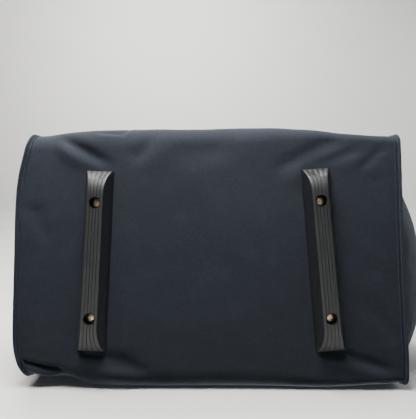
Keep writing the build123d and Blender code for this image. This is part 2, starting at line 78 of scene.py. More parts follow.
WRAP = Box("body_wrap")
LID = Box("lid_panel")
PANEL = Box("end_panel_right")
ZIP_LOW = Box("main_zip_lower_coil")
ZIP_UP = Box("main_zip_upper_coil")
LINING = Box("lining")
SLEEVE = Box("back_sleeve")
FRONT_POCKET = Box("front_pocket")
FRONT_STRAPS = Box("front_straps")
BACK_STRAPS = Box("back_straps")
CY = WRAP.mid.y                      # the middle of the base, front to back
HX, HY = WRAP.hi.x, WRAP.size.y / 2
BASE_Z = WRAP.lo.z
END_X = PANEL.hi.x
ZIP_Z = (ZIP_LOW.hi.z + ZIP_UP.lo.z) / 2
WALL_TOP = PANEL.hi.z
ROLL = 24 * MM                       # radius where the base turns up
SIDES = (("left", -1), ("right", 1))
CLOTH = 1.6 * MM
FOAM_GAP = 0.3 * MM                  # between the cloth and the foam or board under it
FRONT_Y, BACK_Y = CY - HY, CY + HY


def smooth(a, b, t):
    """0 below a, 1 above b, and a smooth rise between them. Works on numbers and arrays."""
    t = np.clip((t - a) / (b - a), 0, 1)
    return t * t * (3 - 2 * t)


# How the loaded cloth has slumped: (middle, reach along x, y and z, push), in metres.
SLUMPS = [
    ((-HX, FRONT_Y, 0.020), (0.055, 0.060, 0.100), (0.0105, 0.0045, 0.0030)),
    ((HX, FRONT_Y, 0.020), (0.120, 0.050, 0.090), (-0.0005, 0.0135, 0.0010)),
    ((HX, CY, 0.020), (0.050, 0.250, 0.085), (-0.0045, 0.0, 0.0)),
    ((-HX, BACK_Y, 0.022), (0.045, 0.042, 0.085), (0.0085, -0.0115, 0.0030)),
    ((-0.170, BACK_Y, 0.024), (0.028, 0.034, 0.060), (0.0, -0.0095, 0.0)),
    ((HX, BACK_Y, 0.030), (0.090, 0.035, 0.060), (-0.0010, -0.0060, 0.0020)),
    ((0.0, FRONT_Y, 0.020), (0.230, 0.030, 0.060), (0.0, -0.0020, 0.0)),
]


def slump(points):
    """Moves an array of cloth points by the slumps, which fade out at twice their reach."""
    out = points.copy()
    for middle, reach, push in SLUMPS:
        d = (points - np.array(middle)) / np.array(reach)
        out += np.exp(-1.6 * (d**2).sum(-1))[..., None] * np.array(push)
    return out


def ripple(points, size, seed):
    """Slow noise in -1..1 at each point, with features of that size in metres."""
    shift = Vector((seed * 3.7, seed * 1.9, seed * 5.3))
    values = [noise.noise(Vector(p) / size + shift) for p in points.reshape(-1, 3)]
    return np.array(values).reshape(points.shape[:-1])


def spots(x, y, z):
    """Points from three coordinates, each one a number or an array."""
    return np.stack(np.broadcast_arrays(x, y, z), -1)


# --- mesh helpers ---------------------------------------------------------------------
def new_mesh(name, verts, faces, uvs=None):
    """A smooth-shaded object; uvs is one (u, v) in metres for each vertex, along the cloth."""
    mesh = bpy.data.meshes.new(name)
    mesh.from_pydata([tuple(v) for v in verts], [], faces)
    mesh.validate()
    if uvs is not None:
        layer = mesh.uv_layers.new(name="cloth")
        index = np.empty(len(mesh.loops), dtype=np.int32)
        mesh.loops.foreach_get("vertex_index", index)
        layer.data.foreach_set("uv", np.asarray(uvs, dtype=np.float32)[index].ravel())
    mesh.polygons.foreach_set("use_smooth", [True] * len(mesh.polygons))
    piece = bpy.data.objects.new(name, mesh)
    bpy.context.scene.collection.objects.link(piece)
    return piece


def grid_faces(rows, cols, close_rows=False, close_cols=False):
    faces = []
    for i in range(rows if close_rows else rows - 1):
        for j in range(cols if close_cols else cols - 1):
            a, b = i * cols + j, i * cols + (j + 1) % cols
            c, d = (i + 1) % rows * cols + (j + 1) % cols, (i + 1) % rows * cols + j
            faces.append((a, b, c, d))
    return faces


def cap_faces(rows, cols):
    """The first and the last ring of a tube, as its end faces."""
    return [tuple(range(cols)), tuple(reversed(range((rows - 1) * cols, rows * cols)))]


def recalc(piece, weld=False):
    """Turns every face outward, after welding vertices that coincide if asked."""
    bm = bmesh.new()
    bm.from_mesh(piece.data)
    if weld:
        bmesh.ops.remove_doubles(bm, verts=bm.verts, dist=1e-6)
    bmesh.ops.recalc_face_normals(bm, faces=bm.faces)
    bm.to_mesh(piece.data)
    bm.free()


def lengths(points):
    """Distance along each row of points from its start."""
    step = np.linalg.norm(np.diff(points, axis=-2), axis=-1)
    return np.concatenate([np.zeros(step.shape[:-1] + (1,)), np.cumsum(step, axis=-1)], axis=-1)


INSIDE = np.array([0.0, CY, 0.17])


def sheet(name, points, thickness, inside=INSIDE):
    """Cloth from a (rows, cols, 3) array: a closed sheet whose outer face is those points."""
    rows, cols = points.shape[:2]
    corner = points[:-1, :-1]
    normal = np.cross(points[:-1, 1:] - corner, points[1:, :-1] - corner)
    flip = ((corner - inside) * normal).sum() < 0
    u = lengths(points)
    v = lengths(points.transpose(1, 0, 2)).T
    uvs = np.stack([u, v], -1).reshape(-1, 2)
    faces = grid_faces(rows, cols)
    if flip:
        faces = [tuple(reversed(f)) for f in faces]
    piece = new_mesh(name, points.reshape(-1, 3), faces, uvs)
    solid = piece.modifiers.new("thickness", "SOLIDIFY")
    solid.thickness = thickness
    solid.offset = -1
    apply(piece)
    return piece


def apply(piece):
    """Applies a piece's modifiers to its mesh."""
    graph = bpy.context.evaluated_depsgraph_get()
    graph.update()
    mesh = bpy.data.meshes.new_from_object(piece.evaluated_get(graph))
    piece.modifiers.clear()
    old, piece.data = piece.data, mesh
    bpy.data.meshes.remove(old)
    piece.data.polygons.foreach_set("use_smooth", [True] * len(piece.data.polygons))


def carve(piece, cutter):
    """Cuts a shape out of a piece, and takes the cutter away."""
    cut = piece.modifiers.new("cut", "BOOLEAN")
    cut.operation, cut.object, cut.solver = "DIFFERENCE", cutter, "EXACT"
    apply(piece)
    bpy.data.objects.remove(cutter)


def tangents(path, closed=False):
    """The unit direction of a path at each of its points."""
    if closed:
        along = np.roll(path, -1, 0) - np.roll(path, 1, 0)
    else:
        along = np.gradient(path, axis=0)
    return along / np.linalg.norm(along, axis=1)[:, None]


def frames(path, closed=False, up=None):
    """Two normals at each point of a path; up fixes the second one's side."""
    tangent = tangents(path, closed)
    if up is None:
        level = abs(tangent[:, 2]).mean() < 0.6
        up = np.array([0.0, 0.0, 1.0]) if level else np.array([1.0, 0.0, 0.0])
    side = np.cross(tangent, up)
    side /= np.linalg.norm(side, axis=1)[:, None]
    return side, np.cross(side, tangent)


def sweep(name, path, section, closed=False, up=None, scale=None):
    """Sweeps a closed section of (across, up) points along a path, with capped ends."""
    path = np.asarray(path, float)
    side, top = frames(path, closed, up)
    rows, cols = len(path), len(section)
    scale = np.ones(rows) if scale is None else scale
    verts = []
    for i in range(rows):
        for a, b in section:
            verts.append(path[i] + scale[i] * (side[i] * a + top[i] * b))
    faces = grid_faces(rows, cols, close_rows=closed, close_cols=True)
    if not closed:
        faces += cap_faces(rows, cols)
    run = lengths(path[None])[0]
    around = lengths(np.array([(a, b, 0) for a, b in section])[None])[0]
    uvs = [(r, c) for r in run for c in around]
    piece = new_mesh(name, verts, faces, uvs)
    recalc(piece)
    return piece


def circle(radius, sides=12, squash=1.0):
    turn = [2 * math.pi * k / sides for k in range(sides)]
    return [(radius * math.cos(t), radius * squash * math.sin(t)) for t in turn]


def join(name, pieces):
    """Joins mesh pieces into the first one."""
    for piece in bpy.context.selected_objects:
        piece.select_set(False)
    for piece in pieces:
        piece.select_set(True)
    bpy.context.view_layer.objects.active = pieces[0]
    bpy.ops.object.join()
    pieces[0].name = name
    pieces[0].select_set(False)
    return pieces[0]


def many(name, places, shape, faces):
    """Copies a small shape to each (origin, along, across, out) place, as one object."""
    shape = np.asarray(shape)
    verts, out = [], []
    for origin, along, across, up in places:
        base = len(verts)
        verts.extend(origin + shape[:, :1] * along + shape[:, 1:2] * across + shape[:, 2:] * up)
        out.extend(tuple(base + k for k in f) for f in faces)
    return new_mesh(name, verts, out)


def spindle(length, radius, flat=0.7):
    """A rounded, slightly flattened grain along x: (verts, faces)."""
    rings = [(-0.5, 0.45), (-0.3, 1.0), (0.3, 1.0), (0.5, 0.45)]
    sides = 6
    verts = []
    for x, r in rings:
        for k in range(sides):
            t = 2 * math.pi * k / sides
            verts.append((length * x, radius * r * math.cos(t), radius * r * flat * math.sin(t)))
    faces = grid_faces(len(rings), sides, close_cols=True)
    faces.append(tuple(reversed(range(sides))))
    faces.append(tuple(range((len(rings) - 1) * sides, len(rings) * sides)))
    return verts, [tuple(reversed(f)) for f in faces]


def resample(path, step):
    """Points a step apart along a path."""
    path = np.asarray(path, float)
    run = lengths(path[None])[0]
    at = np.arange(step / 2, run[-1], step)
    return np.stack([np.interp(at, run, path[:, k]) for k in range(3)], 1)


STITCH, STITCH_STEP, STITCH_R = 2.6 * MM, 3.4 * MM, 0.36 * MM


def stitch_line(path, out):
    """Places for a row of stitches along a path that lies on a surface whose outward side is out."""
    points = resample(path, STITCH_STEP)
    if len(points) < 2:
        return []
    out = np.asarray(out, float)
    places = []
    for p, t in zip(points, tangents(points)):
        n = out - t * out.dot(t)
        n /= np.linalg.norm(n)
        places.append((p + n * STITCH_R * 0.35, t, np.cross(n, t), n))
    return places


def stitches(name, lines, body):
    """One object for rows of stitches; lines is a list of (path, outward direction)."""
    places = [place for path, out in lines for place in stitch_line(path, out)]
    finish(many(name, places, *spindle(STITCH, STITCH_R)), body, "thread", "bag_cloth")


# --- materials ------------------------------------------------------------------------
class Graph:
    """A small helper for building a material's nodes."""

    def __init__(self, name):
        self.material = bpy.data.materials.new(name)
        self.material.use_nodes = True
        self.nodes = self.material.node_tree.nodes
        self.links = self.material.node_tree.links
        self.nodes.clear()
        self.out = self.add("ShaderNodeOutputMaterial")
        self.bsdf = self.add("ShaderNodeBsdfPrincipled")
        self.link(self.bsdf.outputs[0], self.out.inputs[0])

    def add(self, kind, **settings):
        node = self.nodes.new(kind)
        for key, value in settings.items():
            setattr(node, key, value)
        return node

    def link(self, a, b):
        self.links.new(a, b)

    def set(self, **values):
        for key, value in values.items():
            self.bsdf.inputs[key.replace("_", " ")].default_value = value

    def math(self, operation, a, b=None, clamp=False):
        node = self.add("ShaderNodeMath", operation=operation, use_clamp=clamp)
        for socket, value in zip(node.inputs, (a, b)):
            if value is None:
                continue
            if isinstance(value, (int, float)):
                socket.default_value = value
            else:
                self.link(value, socket)
        return node.outputs[0]

    def times(self, a, b, clamp=False):
        return self.math("MULTIPLY", a, b, clamp)

    def plus(self, a, b, clamp=False):
        return self.math("ADD", a, b, clamp)

    def over(self, value, floor, gain):
        """How far a value is above a floor, times a gain, kept within 0..1."""
        return self.times(self.math("SUBTRACT", value, floor, clamp=True), gain, clamp=True)

    def place(self, uv):
        if uv:
            return self.add("ShaderNodeUVMap", uv_map="cloth").outputs[0]
        return self.add("ShaderNodeTexCoord").outputs["Object"]

    def noise(self, vector, scale, detail=2.0, rough=0.5, stretch=None):
        if stretch:
            mapping = self.add("ShaderNodeMapping")
            mapping.inputs["Scale"].default_value = stretch
            self.link(vector, mapping.inputs["Vector"])
            vector = mapping.outputs[0]
        node = self.add("ShaderNodeTexNoise")
        node.inputs["Scale"].default_value = scale
        node.inputs["Detail"].default_value = detail
        node.inputs["Roughness"].default_value = rough
        self.link(vector, node.inputs["Vector"])
        return node.outputs["Fac"]

    def span(self, value, low, high):
        """Maps 0..1 to low..high."""
        node = self.add("ShaderNodeMapRange")
        node.inputs["To Min"].default_value = low
        node.inputs["To Max"].default_value = high
        self.link(value, node.inputs["Value"])
        return node.outputs[0]

    def mix(self, factor, a, b, blend="MIX"):
        node = self.add("ShaderNodeMix", data_type="RGBA", blend_type=blend)
        for socket, value in ((node.inputs[0], factor), (node.inputs[6], a), (node.inputs[7], b)):
            if isinstance(value, (int, float)):
                socket.default_value = value
            elif isinstance(value, tuple):
                socket.default_value = (*value, 1)
            else:
                self.link(value, socket)
        return node.outputs[2]

    def bump(self, height, distance, strength=1.0, normal=None):
        node = self.add("ShaderNodeBump")
        node.inputs["Distance"].default_value = distance
        node.inputs["Strength"].default_value = strength
        self.link(height, node.inputs["Height"])
        if normal is not None:
            self.link(normal, node.inputs["Normal"])
        return node.outputs[0]

    def axes(self, vector):
        node = self.add("ShaderNodeSeparateXYZ")
        self.link(vector, node.inputs[0])
        return node.outputs

    def finish(self, color=None, rough=None, normal=None):
        if color is not None:
            self.link(color, self.bsdf.inputs["Base Color"])
        if rough is not None:
            self.link(rough, self.bsdf.inputs["Roughness"])
        if normal is not None:
            self.link(normal, self.bsdf.inputs["Normal"])
        return self.material


def weave_height(g, vector, pitch, twill=0.0):
    """A plain or twill weave of threads a pitch apart, 0 in the gaps and 1 on the crowns."""
    axis = g.axes(vector)
    turn = 2 * math.pi / pitch
    a = g.times(axis[0], turn)
    b = g.times(axis[1], turn)
    if twill:
        a = g.plus(a, g.times(b, twill))
    crossed = g.times(g.math("SINE", a), g.math("SINE", b))
    return g.plus(g.times(crossed, 0.5), 0.5)


def cloth(name, dark, light, pitch, twill=0.0, lint=True):
    """Woven nylon: threads, slubs, slow colour drift, rubbed patches and a little lint."""
    g = Graph(name)
    place = g.place(True)
    where = g.place(False)
    weave = weave_height(g, place, pitch, twill)
    slub = g.noise(place, 900.0, 2.0, 0.6, stretch=(1.0, 0.25, 1.0))
    drift = g.noise(where, 11.0, 3.0, 0.55)
    rub = g.noise(where, 46.0, 4.0, 0.62)
    mottle = g.noise(where, 420.0, 3.0, 0.7)
    tone = g.plus(g.times(weave, 0.35), g.times(slub, 0.30))
    tone = g.plus(tone, g.times(drift, 0.25))
    tone = g.plus(tone, g.times(g.math("SUBTRACT", mottle, 0.5), 1.1))
    color = g.mix(g.times(tone, 1.0, clamp=True), dark, light)
    worn = g.over(rub, 0.52, 0.5)
    color = g.mix(worn, color, tuple(min(1.0, 1.55 * c + 0.004) for c in light))
    if lint:
        specks = g.add("ShaderNodeTexVoronoi")
        specks.inputs["Scale"].default_value = 34.0
        g.link(where, specks.inputs["Vector"])
        spot = g.math("LESS_THAN", specks.outputs["Distance"], 0.018)
        few = g.math("GREATER_THAN", g.axes(specks.outputs["Color"])[0], 0.86)
        color = g.mix(g.times(spot, few), color, (0.30, 0.30, 0.29))
    height = g.plus(weave, g.times(slub, 0.5))
    normal = g.bump(height, 0.00022, 0.85)
    normal = g.bump(g.noise(where, 150.0, 3.0, 0.6), 0.0007, 0.35, normal)
    g.set(Sheen_Weight=0.16, Sheen_Roughness=0.45, Specular_IOR_Level=0.22)
    g.bsdf.inputs["Sheen Tint"].default_value = (0.58, 0.70, 0.92, 1)
    return g.finish(color, g.span(slub, 0.74, 0.90), normal)


def webbing(name, dark, light):
    """Flat woven strap: lengthwise ribs crossed by fine picks, with a worn crown."""
    g = Graph(name)
    place = g.place(True)
    axis = g.axes(place)
    ribs = g.math("SINE", g.times(axis[1], 2 * math.pi / 0.0024))
    picks = g.math("SINE", g.times(axis[0], 2 * math.pi / 0.0016))
    crossed = g.times(g.times(ribs, picks), 0.35)
    height = g.plus(g.times(ribs, 0.3), crossed)
    height = g.plus(height, 0.5)
    fuzz = g.noise(place, 1400.0, 3.0, 0.7)
    drift = g.noise(g.place(False), 30.0, 3.0, 0.6)
    tone = g.plus(g.times(height, 0.55), g.times(fuzz, 0.4), clamp=True)
    color = g.mix(tone, dark, light)
    worn = g.over(drift, 0.55, 1.6)
    color = g.mix(worn, color, light)
    normal = g.bump(g.plus(height, g.times(fuzz, 0.3)), 0.00045, 0.9)
    g.set(Sheen_Weight=0.18, Sheen_Roughness=0.4, Specular_IOR_Level=0.35)
    return g.finish(color, g.span(fuzz, 0.62, 0.82), normal)


def plastic(name, dark, light, rough=0.40, grain=0.00006):
    """Moulded plastic: fine spark grain, hairline scuffs, and dust."""
    g = Graph(name)
    where = g.place(False)
    fine = g.noise(where, 2600.0, 2.0, 0.6)
    slow = g.noise(where, 26.0, 3.0, 0.6)
    scuff = g.noise(where, 420.0, 3.0, 0.7, stretch=(1.0, 0.06, 1.0))
    worn = g.over(scuff, 0.64, 1.4)
    worn = g.times(worn, g.times(slow, 1.4, clamp=True))
    color = g.mix(slow, dark, light)
    color = g.mix(worn, color, tuple(min(1.0, 3.2 * c + 0.02) for c in light))
    roughness = g.plus(g.span(slow, rough - 0.05, rough + 0.07), g.times(worn, 0.22))
    normal = g.bump(g.plus(fine, g.times(scuff, 0.08)), grain, 0.6)
    g.set(Specular_IOR_Level=0.5)
    return g.finish(color, roughness, normal)


def metal(name, color, dark, rough, metallic=1.0):
    """Plated or enamelled metal with tarnish, fine scratches and handling marks."""
    g = Graph(name)
    where = g.place(False)
    blotch = g.noise(where, 210.0, 4.0, 0.65)
    scratch = g.noise(where, 1500.0, 2.0, 0.6, stretch=(1.0, 0.08, 0.6))
    tint = g.mix(blotch, dark, color)
    bare = g.over(scratch, 0.6, 1.5)
    tint = g.mix(bare, tint, color)
    normal = g.bump(g.plus(scratch, g.times(blotch, 0.5)), 0.00005, 0.6)
    g.set(Metallic=metallic, Specular_IOR_Level=0.5)
    return g.finish(tint, g.span(blotch, rough - 0.08, rough + 0.14), normal)


def knit(name, dark, light, uv=True):
    """Brushed knit lining: soft pile over a fine loop pattern."""
    g = Graph(name)
    place = g.place(uv)
    where = g.place(False)
    loops = weave_height(g, place, 0.0016, 0.5)
    pile = g.noise(where, 1200.0, 4.0, 0.75)
    nap = g.noise(where, 24.0, 3.0, 0.6)
    tone = g.plus(g.times(pile, 0.6), g.times(nap, 0.5), clamp=True)
    normal = g.bump(g.plus(pile, g.times(loops, 0.4)), 0.0005, 0.7)
    g.set(Sheen_Weight=0.5, Sheen_Roughness=0.6, Specular_IOR_Level=0.2)
    return g.finish(g.mix(tone, dark, light), g.span(pile, 0.85, 1.0), normal)


NAVY = (0.0085, 0.0108, 0.0160)
NAVY_LIGHT = (0.0260, 0.0320, 0.0430)
LINING_GREYS = (0.045, 0.048, 0.054), (0.130, 0.136, 0.148)
MATERIALS = {
    "cloth": cloth("woven_nylon", NAVY, (0.0270, 0.0335, 0.0450), 0.00110),
    "piping": cloth("piping_nylon", NAVY, NAVY_LIGHT, 0.00095, lint=False),
    "pad": cloth("padded_nylon", NAVY, NAVY_LIGHT, 0.00110),
    "tape": cloth(
        "zip_tape_twill", (0.008, 0.008, 0.009), (0.022, 0.022, 0.024), 0.0007, twill=1.0, lint=False
    ),
    "binding": webbing("binding_tape", (0.009, 0.009, 0.010), (0.028, 0.028, 0.031)),
    "webbing": webbing("strap_webbing", (0.008, 0.008, 0.0095), (0.030, 0.031, 0.035)),
    "lining": knit("lining_knit", *LINING_GREYS),
    "lining_cad": knit("lining_knit_plain", *LINING_GREYS, uv=False),
    "skid": plastic("skid_plastic", (0.0135, 0.0150, 0.0158), (0.0240, 0.0265, 0.0275), 0.46),
    # Painted shade: a much darker copy of the skid plastic for the side walls and the recesses, partly
    # unworn black plastic.
    "skid_side": plastic("skid_plastic_side_unworn_and_shade", (0.0026, 0.0031, 0.0050), (0.0046, 0.0055, 0.0084), 0.52),
    "board": plastic("board_plastic", (0.02, 0.02, 0.022), (0.035, 0.035, 0.038), 0.55),
    "coil": plastic("coil_nylon", (0.008, 0.008, 0.009), (0.018, 0.018, 0.019), 0.42, 0.00003),
    "thread": plastic("bonded_thread", (0.008, 0.009, 0.012), (0.024, 0.027, 0.033), 0.60, 0.00003),
    "brass": metal("screw_brass", (0.90, 0.76, 0.50), (0.52, 0.40, 0.22), 0.34),
    "steel": metal("zinc_steel", (0.62, 0.62, 0.64), (0.40, 0.40, 0.42), 0.34),
    "enamel": metal("black_enamel", (0.055, 0.055, 0.060), (0.018, 0.018, 0.020), 0.34, 0.75),
    "nickel": metal("dark_nickel", (0.30, 0.30, 0.32), (0.14, 0.14, 0.15), 0.28),
}


def finish(piece, body, material, slot, *nodes):
    """Gives a piece its material and body, and hides the CAD nodes that it stands for."""
    piece.data.materials.clear()
    piece.data.materials.append(MATERIALS[material])
    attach(piece, body)
    for node in nodes:
        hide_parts(node)
    return piece


def sew(name, points, thickness, body, material, slot, *nodes, inside=INSIDE):
    """A finished sheet of cloth, foam or board."""
    return finish(sheet(name, points, thickness, inside), body, material, slot, *nodes)


def pipe(name, path, section, body, *nodes, **how):
    """A finished cord in the piping's cloth."""
    return finish(sweep(name, path, section, **how), body, "piping", "piping_cloth", *nodes)


# --- camera, lights and stage ---------------------------------------------------------
VIEW_FROM = Vector((0.012, CY - 0.0194, -0.4743))
VIEW_TILT, VIEW_YAW, VIEW_ROLL = math.radians(3.93), math.radians(-1.61), math.radians(-0.49)
VIEW_LENS = 36.5
VIEW_SHIFT = 0.0032


def make_camera():
    """Looks up at the underside, with the front of the bag at the top of the picture."""
    data = bpy.data.cameras.new("camera")
    data.lens = VIEW_LENS
    camera = bpy.data.objects.new("camera", data)
    s, c = math.sin(VIEW_TILT), math.cos(VIEW_TILT)
    data.shift_x = VIEW_SHIFT
    side, up, ahead = Vector((1, 0, 0)), Vector((0, -c, -s)), Vector((0, -s, c))
    right = side * math.cos(VIEW_YAW) - ahead * math.sin(VIEW_YAW)
    ahead = ahead * math.cos(VIEW_YAW) + side * math.sin(VIEW_YAW)
    right, up = (
        right * math.cos(VIEW_ROLL) + up * math.sin(VIEW_ROLL),
        up * math.cos(VIEW_ROLL) - right * math.sin(VIEW_ROLL),
    )
    turn = Matrix((right, up, -ahead)).transposed().to_4x4()
    camera.matrix_world = Matrix.Translation(VIEW_FROM) @ turn
    bpy.context.scene.collection.objects.link(camera)
    bpy.context.scene.camera = camera


def make_light(name, place, target, size, power, color):
    data = bpy.data.lights.new(name, "AREA")
    data.shape, data.size, data.energy, data.color = "DISK", size, power, color
    light = bpy.data.objects.new(name, data)
    light.location = place
    aim = Vector(target) - Vector(place)
    light.rotation_euler = aim.to_track_quat("-Z", "Y").to_euler()
    light.visible_camera = False
    bpy.context.scene.collection.objects.link(light)


def make_lights():
    middle = (0, CY, 0.1)
    make_light("key_below", (-0.06, CY - 0.62, -0.27), (0.0, CY, 0.03), 0.40, 11.4, (1.0, 0.99, 0.98))
    make_light("room_below", (0.15, CY - 0.35, -1.5), (0, CY, 0.0), 0.5, 0.2, (0.97, 0.99, 1.0))
    make_light("table_low", (-0.5, CY - 1.5, 0.0), (-0.1, CY + 0.17, 0.0), 0.8, 14, (1.0, 0.99, 0.95))
    make_light("wall_below", (-0.25, CY - 1.2, 0.45), (-0.1, CY - 0.5, 1.5), 1.2, 34, (1.0, 0.99, 0.95))
    make_light("key_above", (-1.3, CY - 1.4, 1.7), middle, 1.2, 46, (1.0, 0.985, 0.96))
    make_light("fill_above", (1.7, CY - 0.6, 1.0), middle, 1.4, 17, (0.93, 0.96, 1.0))
    make_light("rim_above", (0.6, CY + 1.7, 1.5), middle, 1.3, 40, (0.97, 0.98, 1.0))
    world = bpy.data.worlds.new("world")
    world.use_nodes = True
    background = world.node_tree.nodes["Background"]
    background.inputs["Color"].default_value = (0.95, 0.96, 0.97, 1)
    background.inputs["Strength"].default_value = 0.11
    bpy.context.scene.world = world


def stage_material(name, color):
    """Pale and matt on its front, and clear from behind."""
    g = Graph(name)
    where = g.place(False)
    tone = g.noise(where, 6.0, 3.0, 0.5)
    shade = g.mix(tone, tuple(0.97 * c for c in color), color)
    g.set(Roughness=0.9, Specular_IOR_Level=0.1)
    g.finish(shade)
    clear = g.add("ShaderNodeBsdfTransparent")
    mix = g.add("ShaderNodeMixShader")
    side = g.add("ShaderNodeNewGeometry")
    g.link(side.outputs["Backfacing"], mix.inputs[0])
    g.link(g.bsdf.outputs[0], mix.inputs[1])
    g.link(clear.outputs[0], mix.inputs[2])
    g.link(mix.outputs[0], g.out.inputs[0])
    return g.material


def make_stage():
    low = -0.5 * MM
    floor = new_mesh("floor", [(-6, -6, low), (6, -6, low), (6, 6, low), (-6, 6, low)], [(0, 1, 2, 3)])
    floor.data.materials.append(stage_material("floor_white", (0.80, 0.80, 0.79)))
    for ray in ("shadow", "diffuse", "glossy", "transmission", "volume_scatter"):
        setattr(floor, f"visible_{ray}", False)
    # The table that the bag lies on in the camera's view, and the wall it meets. Behind the bag
    # it has an alcove, where the open lid leans.
    near, far, top, bend = -1.4, 1.5, -1.8, 0.35
    low, high, half, back = cad_hi.z + 0.015, 0.80, 0.25, 0.22
    table_y = BACK_Y + 0.8 * MM
    line = [(table_y, near), (table_y, low), (table_y, high)]
    for k in range(13):
        t = math.pi / 2 * k / 12
        line.append((table_y - bend * (1 - math.cos(t)), far - bend + bend * math.sin(t)))
    line.append((top, far))
    columns = (-2.4, -half, half, 2.4)
    verts = [(x, y, z) for y, z in line for x in columns]
    faces = [f for f in grid_faces(len(line), len(columns)) if set(f) != {5, 6, 9, 10}]
    verts += [(x, table_y + back, z) for z in (0.0, 1.4) for x in (-1.1, 1.1)]
    deep = len(verts) - 4
    faces.append((deep, deep + 1, deep + 3, deep + 2))
    table = new_mesh("table", verts, faces)
    table.data.polygons.foreach_set("use_smooth", [False] * len(table.data.polygons))
    table.data.materials.append(stage_material("table_white", (0.83, 0.825, 0.80)))
    table.visible_shadow = table.visible_diffuse = False


# --- the sewn body --------------------------------------------------------------------
def u_line(half, low, tops, radius, legs=80, arcs=14, base=90):
    """Down one side, along the bottom and up the other: rows of (a, b, outward a, outward b)."""
    first, last = tops if isinstance(tops, tuple) else (tops, tops)
    rows = [(-half, b, -1, 0) for b in np.linspace(first, low + radius, legs + 1)[:-1]]
    for k in range(arcs):
        t = math.pi / 2 * k / arcs
        a, b = -math.cos(t), -math.sin(t)
        rows.append((-half + radius + radius * a, low + radius + radius * b, a, b))
    rows += [(a, low, 0, -1) for a in np.linspace(-half + radius, half - radius, base + 1)[:-1]]
    for k in range(arcs):
        t = math.pi / 2 * k / arcs
        a, b = math.sin(t), -math.cos(t)
        rows.append((half - radius + radius * a, low + radius + radius * b, a, b))
    rows += [(half, b, 1, 0) for b in np.linspace(low + radius, last, legs + 1)]
    return np.array(rows)


# The corners are rounder at the left end than at the right, where the cloth is pulled square.
END_ROLL = {-1: 24 * MM, 1: 11 * MM}

# Creases on the base as (start, end, half width, depth), from the base's middle, in metres.
CREASES = [
    ((-0.178, -0.143), (-0.116, -0.106), 0.0065, 0.0060),
    ((-0.132, -0.146), (-0.100, -0.143), 0.0022, 0.0018),
    ((-0.102, -0.142), (-0.092, -0.156), 0.0022, 0.0018),
    ((-0.088, -0.112), (-0.060, -0.140), 0.0090, 0.0022),
    ((0.078, -0.098), (0.156, -0.142), 0.0090, 0.0026),
    ((0.112, -0.096), (0.178, -0.130), 0.0070, 0.0018),
    ((0.176, -0.100), (0.206, -0.132), 0.0060, 0.0010),
    ((-0.150, 0.108), (-0.086, 0.121), 0.0070, 0.0042),
    ((-0.126, 0.124), (-0.070, 0.129), 0.0060, 0.0028),
    ((-0.219, 0.129), (-0.172, 0.139), 0.0042, 0.0070),
    ((0.128, 0.104), (0.206, 0.132), 0.0062, 0.0042),
    ((0.190, 0.060), (0.216, 0.096), 0.0080, 0.0016),
    ((-0.205, -0.060), (-0.188, -0.020), 0.0100, 0.0018),
    ((-0.040, -0.120), (0.030, -0.126), 0.0140, 0.0016),
]


def crease_depth(x, y):
    """How far each (x, y) on the base is pressed in by the creases, with a lip beside each."""
    total = np.zeros_like(x)
    for (x0, y0), (x1, y1), width, depth in CREASES:
        d = np.array([x1 - x0, y1 - y0])
        length = np.hypot(*d)
        d /= length
        along = ((x - x0) * d[0] + (y - y0) * d[1]) / length
        across = (-(x - x0) * d[1] + (y - y0) * d[0]) / width
        fade = smooth(-0.15, 0.25, along) * (1 - smooth(0.75, 1.15, along))
        total += depth * fade * (np.exp(-across**2) - 0.45 * np.exp(-((across - 2.0) / 1.3) ** 2))
    return total


def make_wrap():
    """The front, base and back in one cloth, rolled round both lower edges."""
    rows, square = (u_line(HY, BASE_Z, (WALL_TOP, WRAP.hi.z), END_ROLL[side]) for side in (-1, 1))
    xs = HX * np.sin(np.linspace(-math.pi / 2, math.pi / 2, 161) * 0.86) / math.sin(math.pi / 2 * 0.86)
    pull = smooth(0.02, 0.19, xs)
    y, z, ny, nz = (rows[:, k][:, None] * (1 - pull) + square[:, k][:, None] * pull for k in range(4))
    x = np.ones(len(rows))[:, None] * xs
    low = 1 - smooth(0.0, 0.10, z - BASE_Z)
    on_base = np.clip(-nz, 0, 1)
    edge = 1 - np.abs(x / HX) ** 6
    swell = 0.0012 * on_base * edge * (1 - (y / HY) ** 4)
    swell += (1 - on_base) * (1 - low) * edge * 0.0016
    flat = spots(x, y + CY, z)
    wave = 0.0011 * ripple(flat, 0.085, 1) + 0.0005 * ripple(flat, 0.030, 2)
    pucker = 0.0007 * ripple(flat * (1.0, 2.4, 2.4), 0.020, 3) * smooth(0.175, 0.222, np.abs(x))
    push = swell + (wave + pucker) * np.clip(edge * 2, 0.15, 1)
    push -= crease_depth(x, y) * np.clip(on_base * 1.4, 0, 1)
    under_skid = np.exp(-((np.abs(x) - 0.130) / 0.021) ** 4) * np.exp(-(y / 0.112) ** 8) * on_base
    push = push * (1 - under_skid) - 0.0004 * under_skid
    points = slump(spots(x, y + CY + ny * push, z + nz * push))
    sew("base_front_back_cloth", points, CLOTH, "shell", "cloth", "bag_cloth", "body_wrap")
    under = points - spots(0, ny, nz) * (CLOTH + FOAM_GAP)
    wide = np.abs(xs) < LINING.hi.x
    upright = z[:, 0] < LINING.hi.z
    for node, rows_in, slot_name in (
        ("front_foam", (y[:, 0] < -HY + ROLL) & (nz[:, 0] > -0.2), "foam"),
        ("base_board", nz[:, 0] < -0.98, "stiffener"),
        ("back_foam", (y[:, 0] > HY - ROLL) & (nz[:, 0] > -0.2), "foam"),
    ):
        box = Box(node)
        thick = min(box.size.y, box.size.z)
        layer = under[rows_in & upright][:, wide]
        sew(f"{node}_sheet", layer, thick, "shell", "board", slot_name, node)


def seam_path(side, x, offset, top):
    """The line of an end seam, pushed outward from the cloth's corner by an offset."""
    rows = u_line(HY + offset, BASE_Z - offset, top, END_ROLL[side] + offset, 60, 14, 70)
    return slump(spots(x, rows[:, 0] + CY, rows[:, 1]))


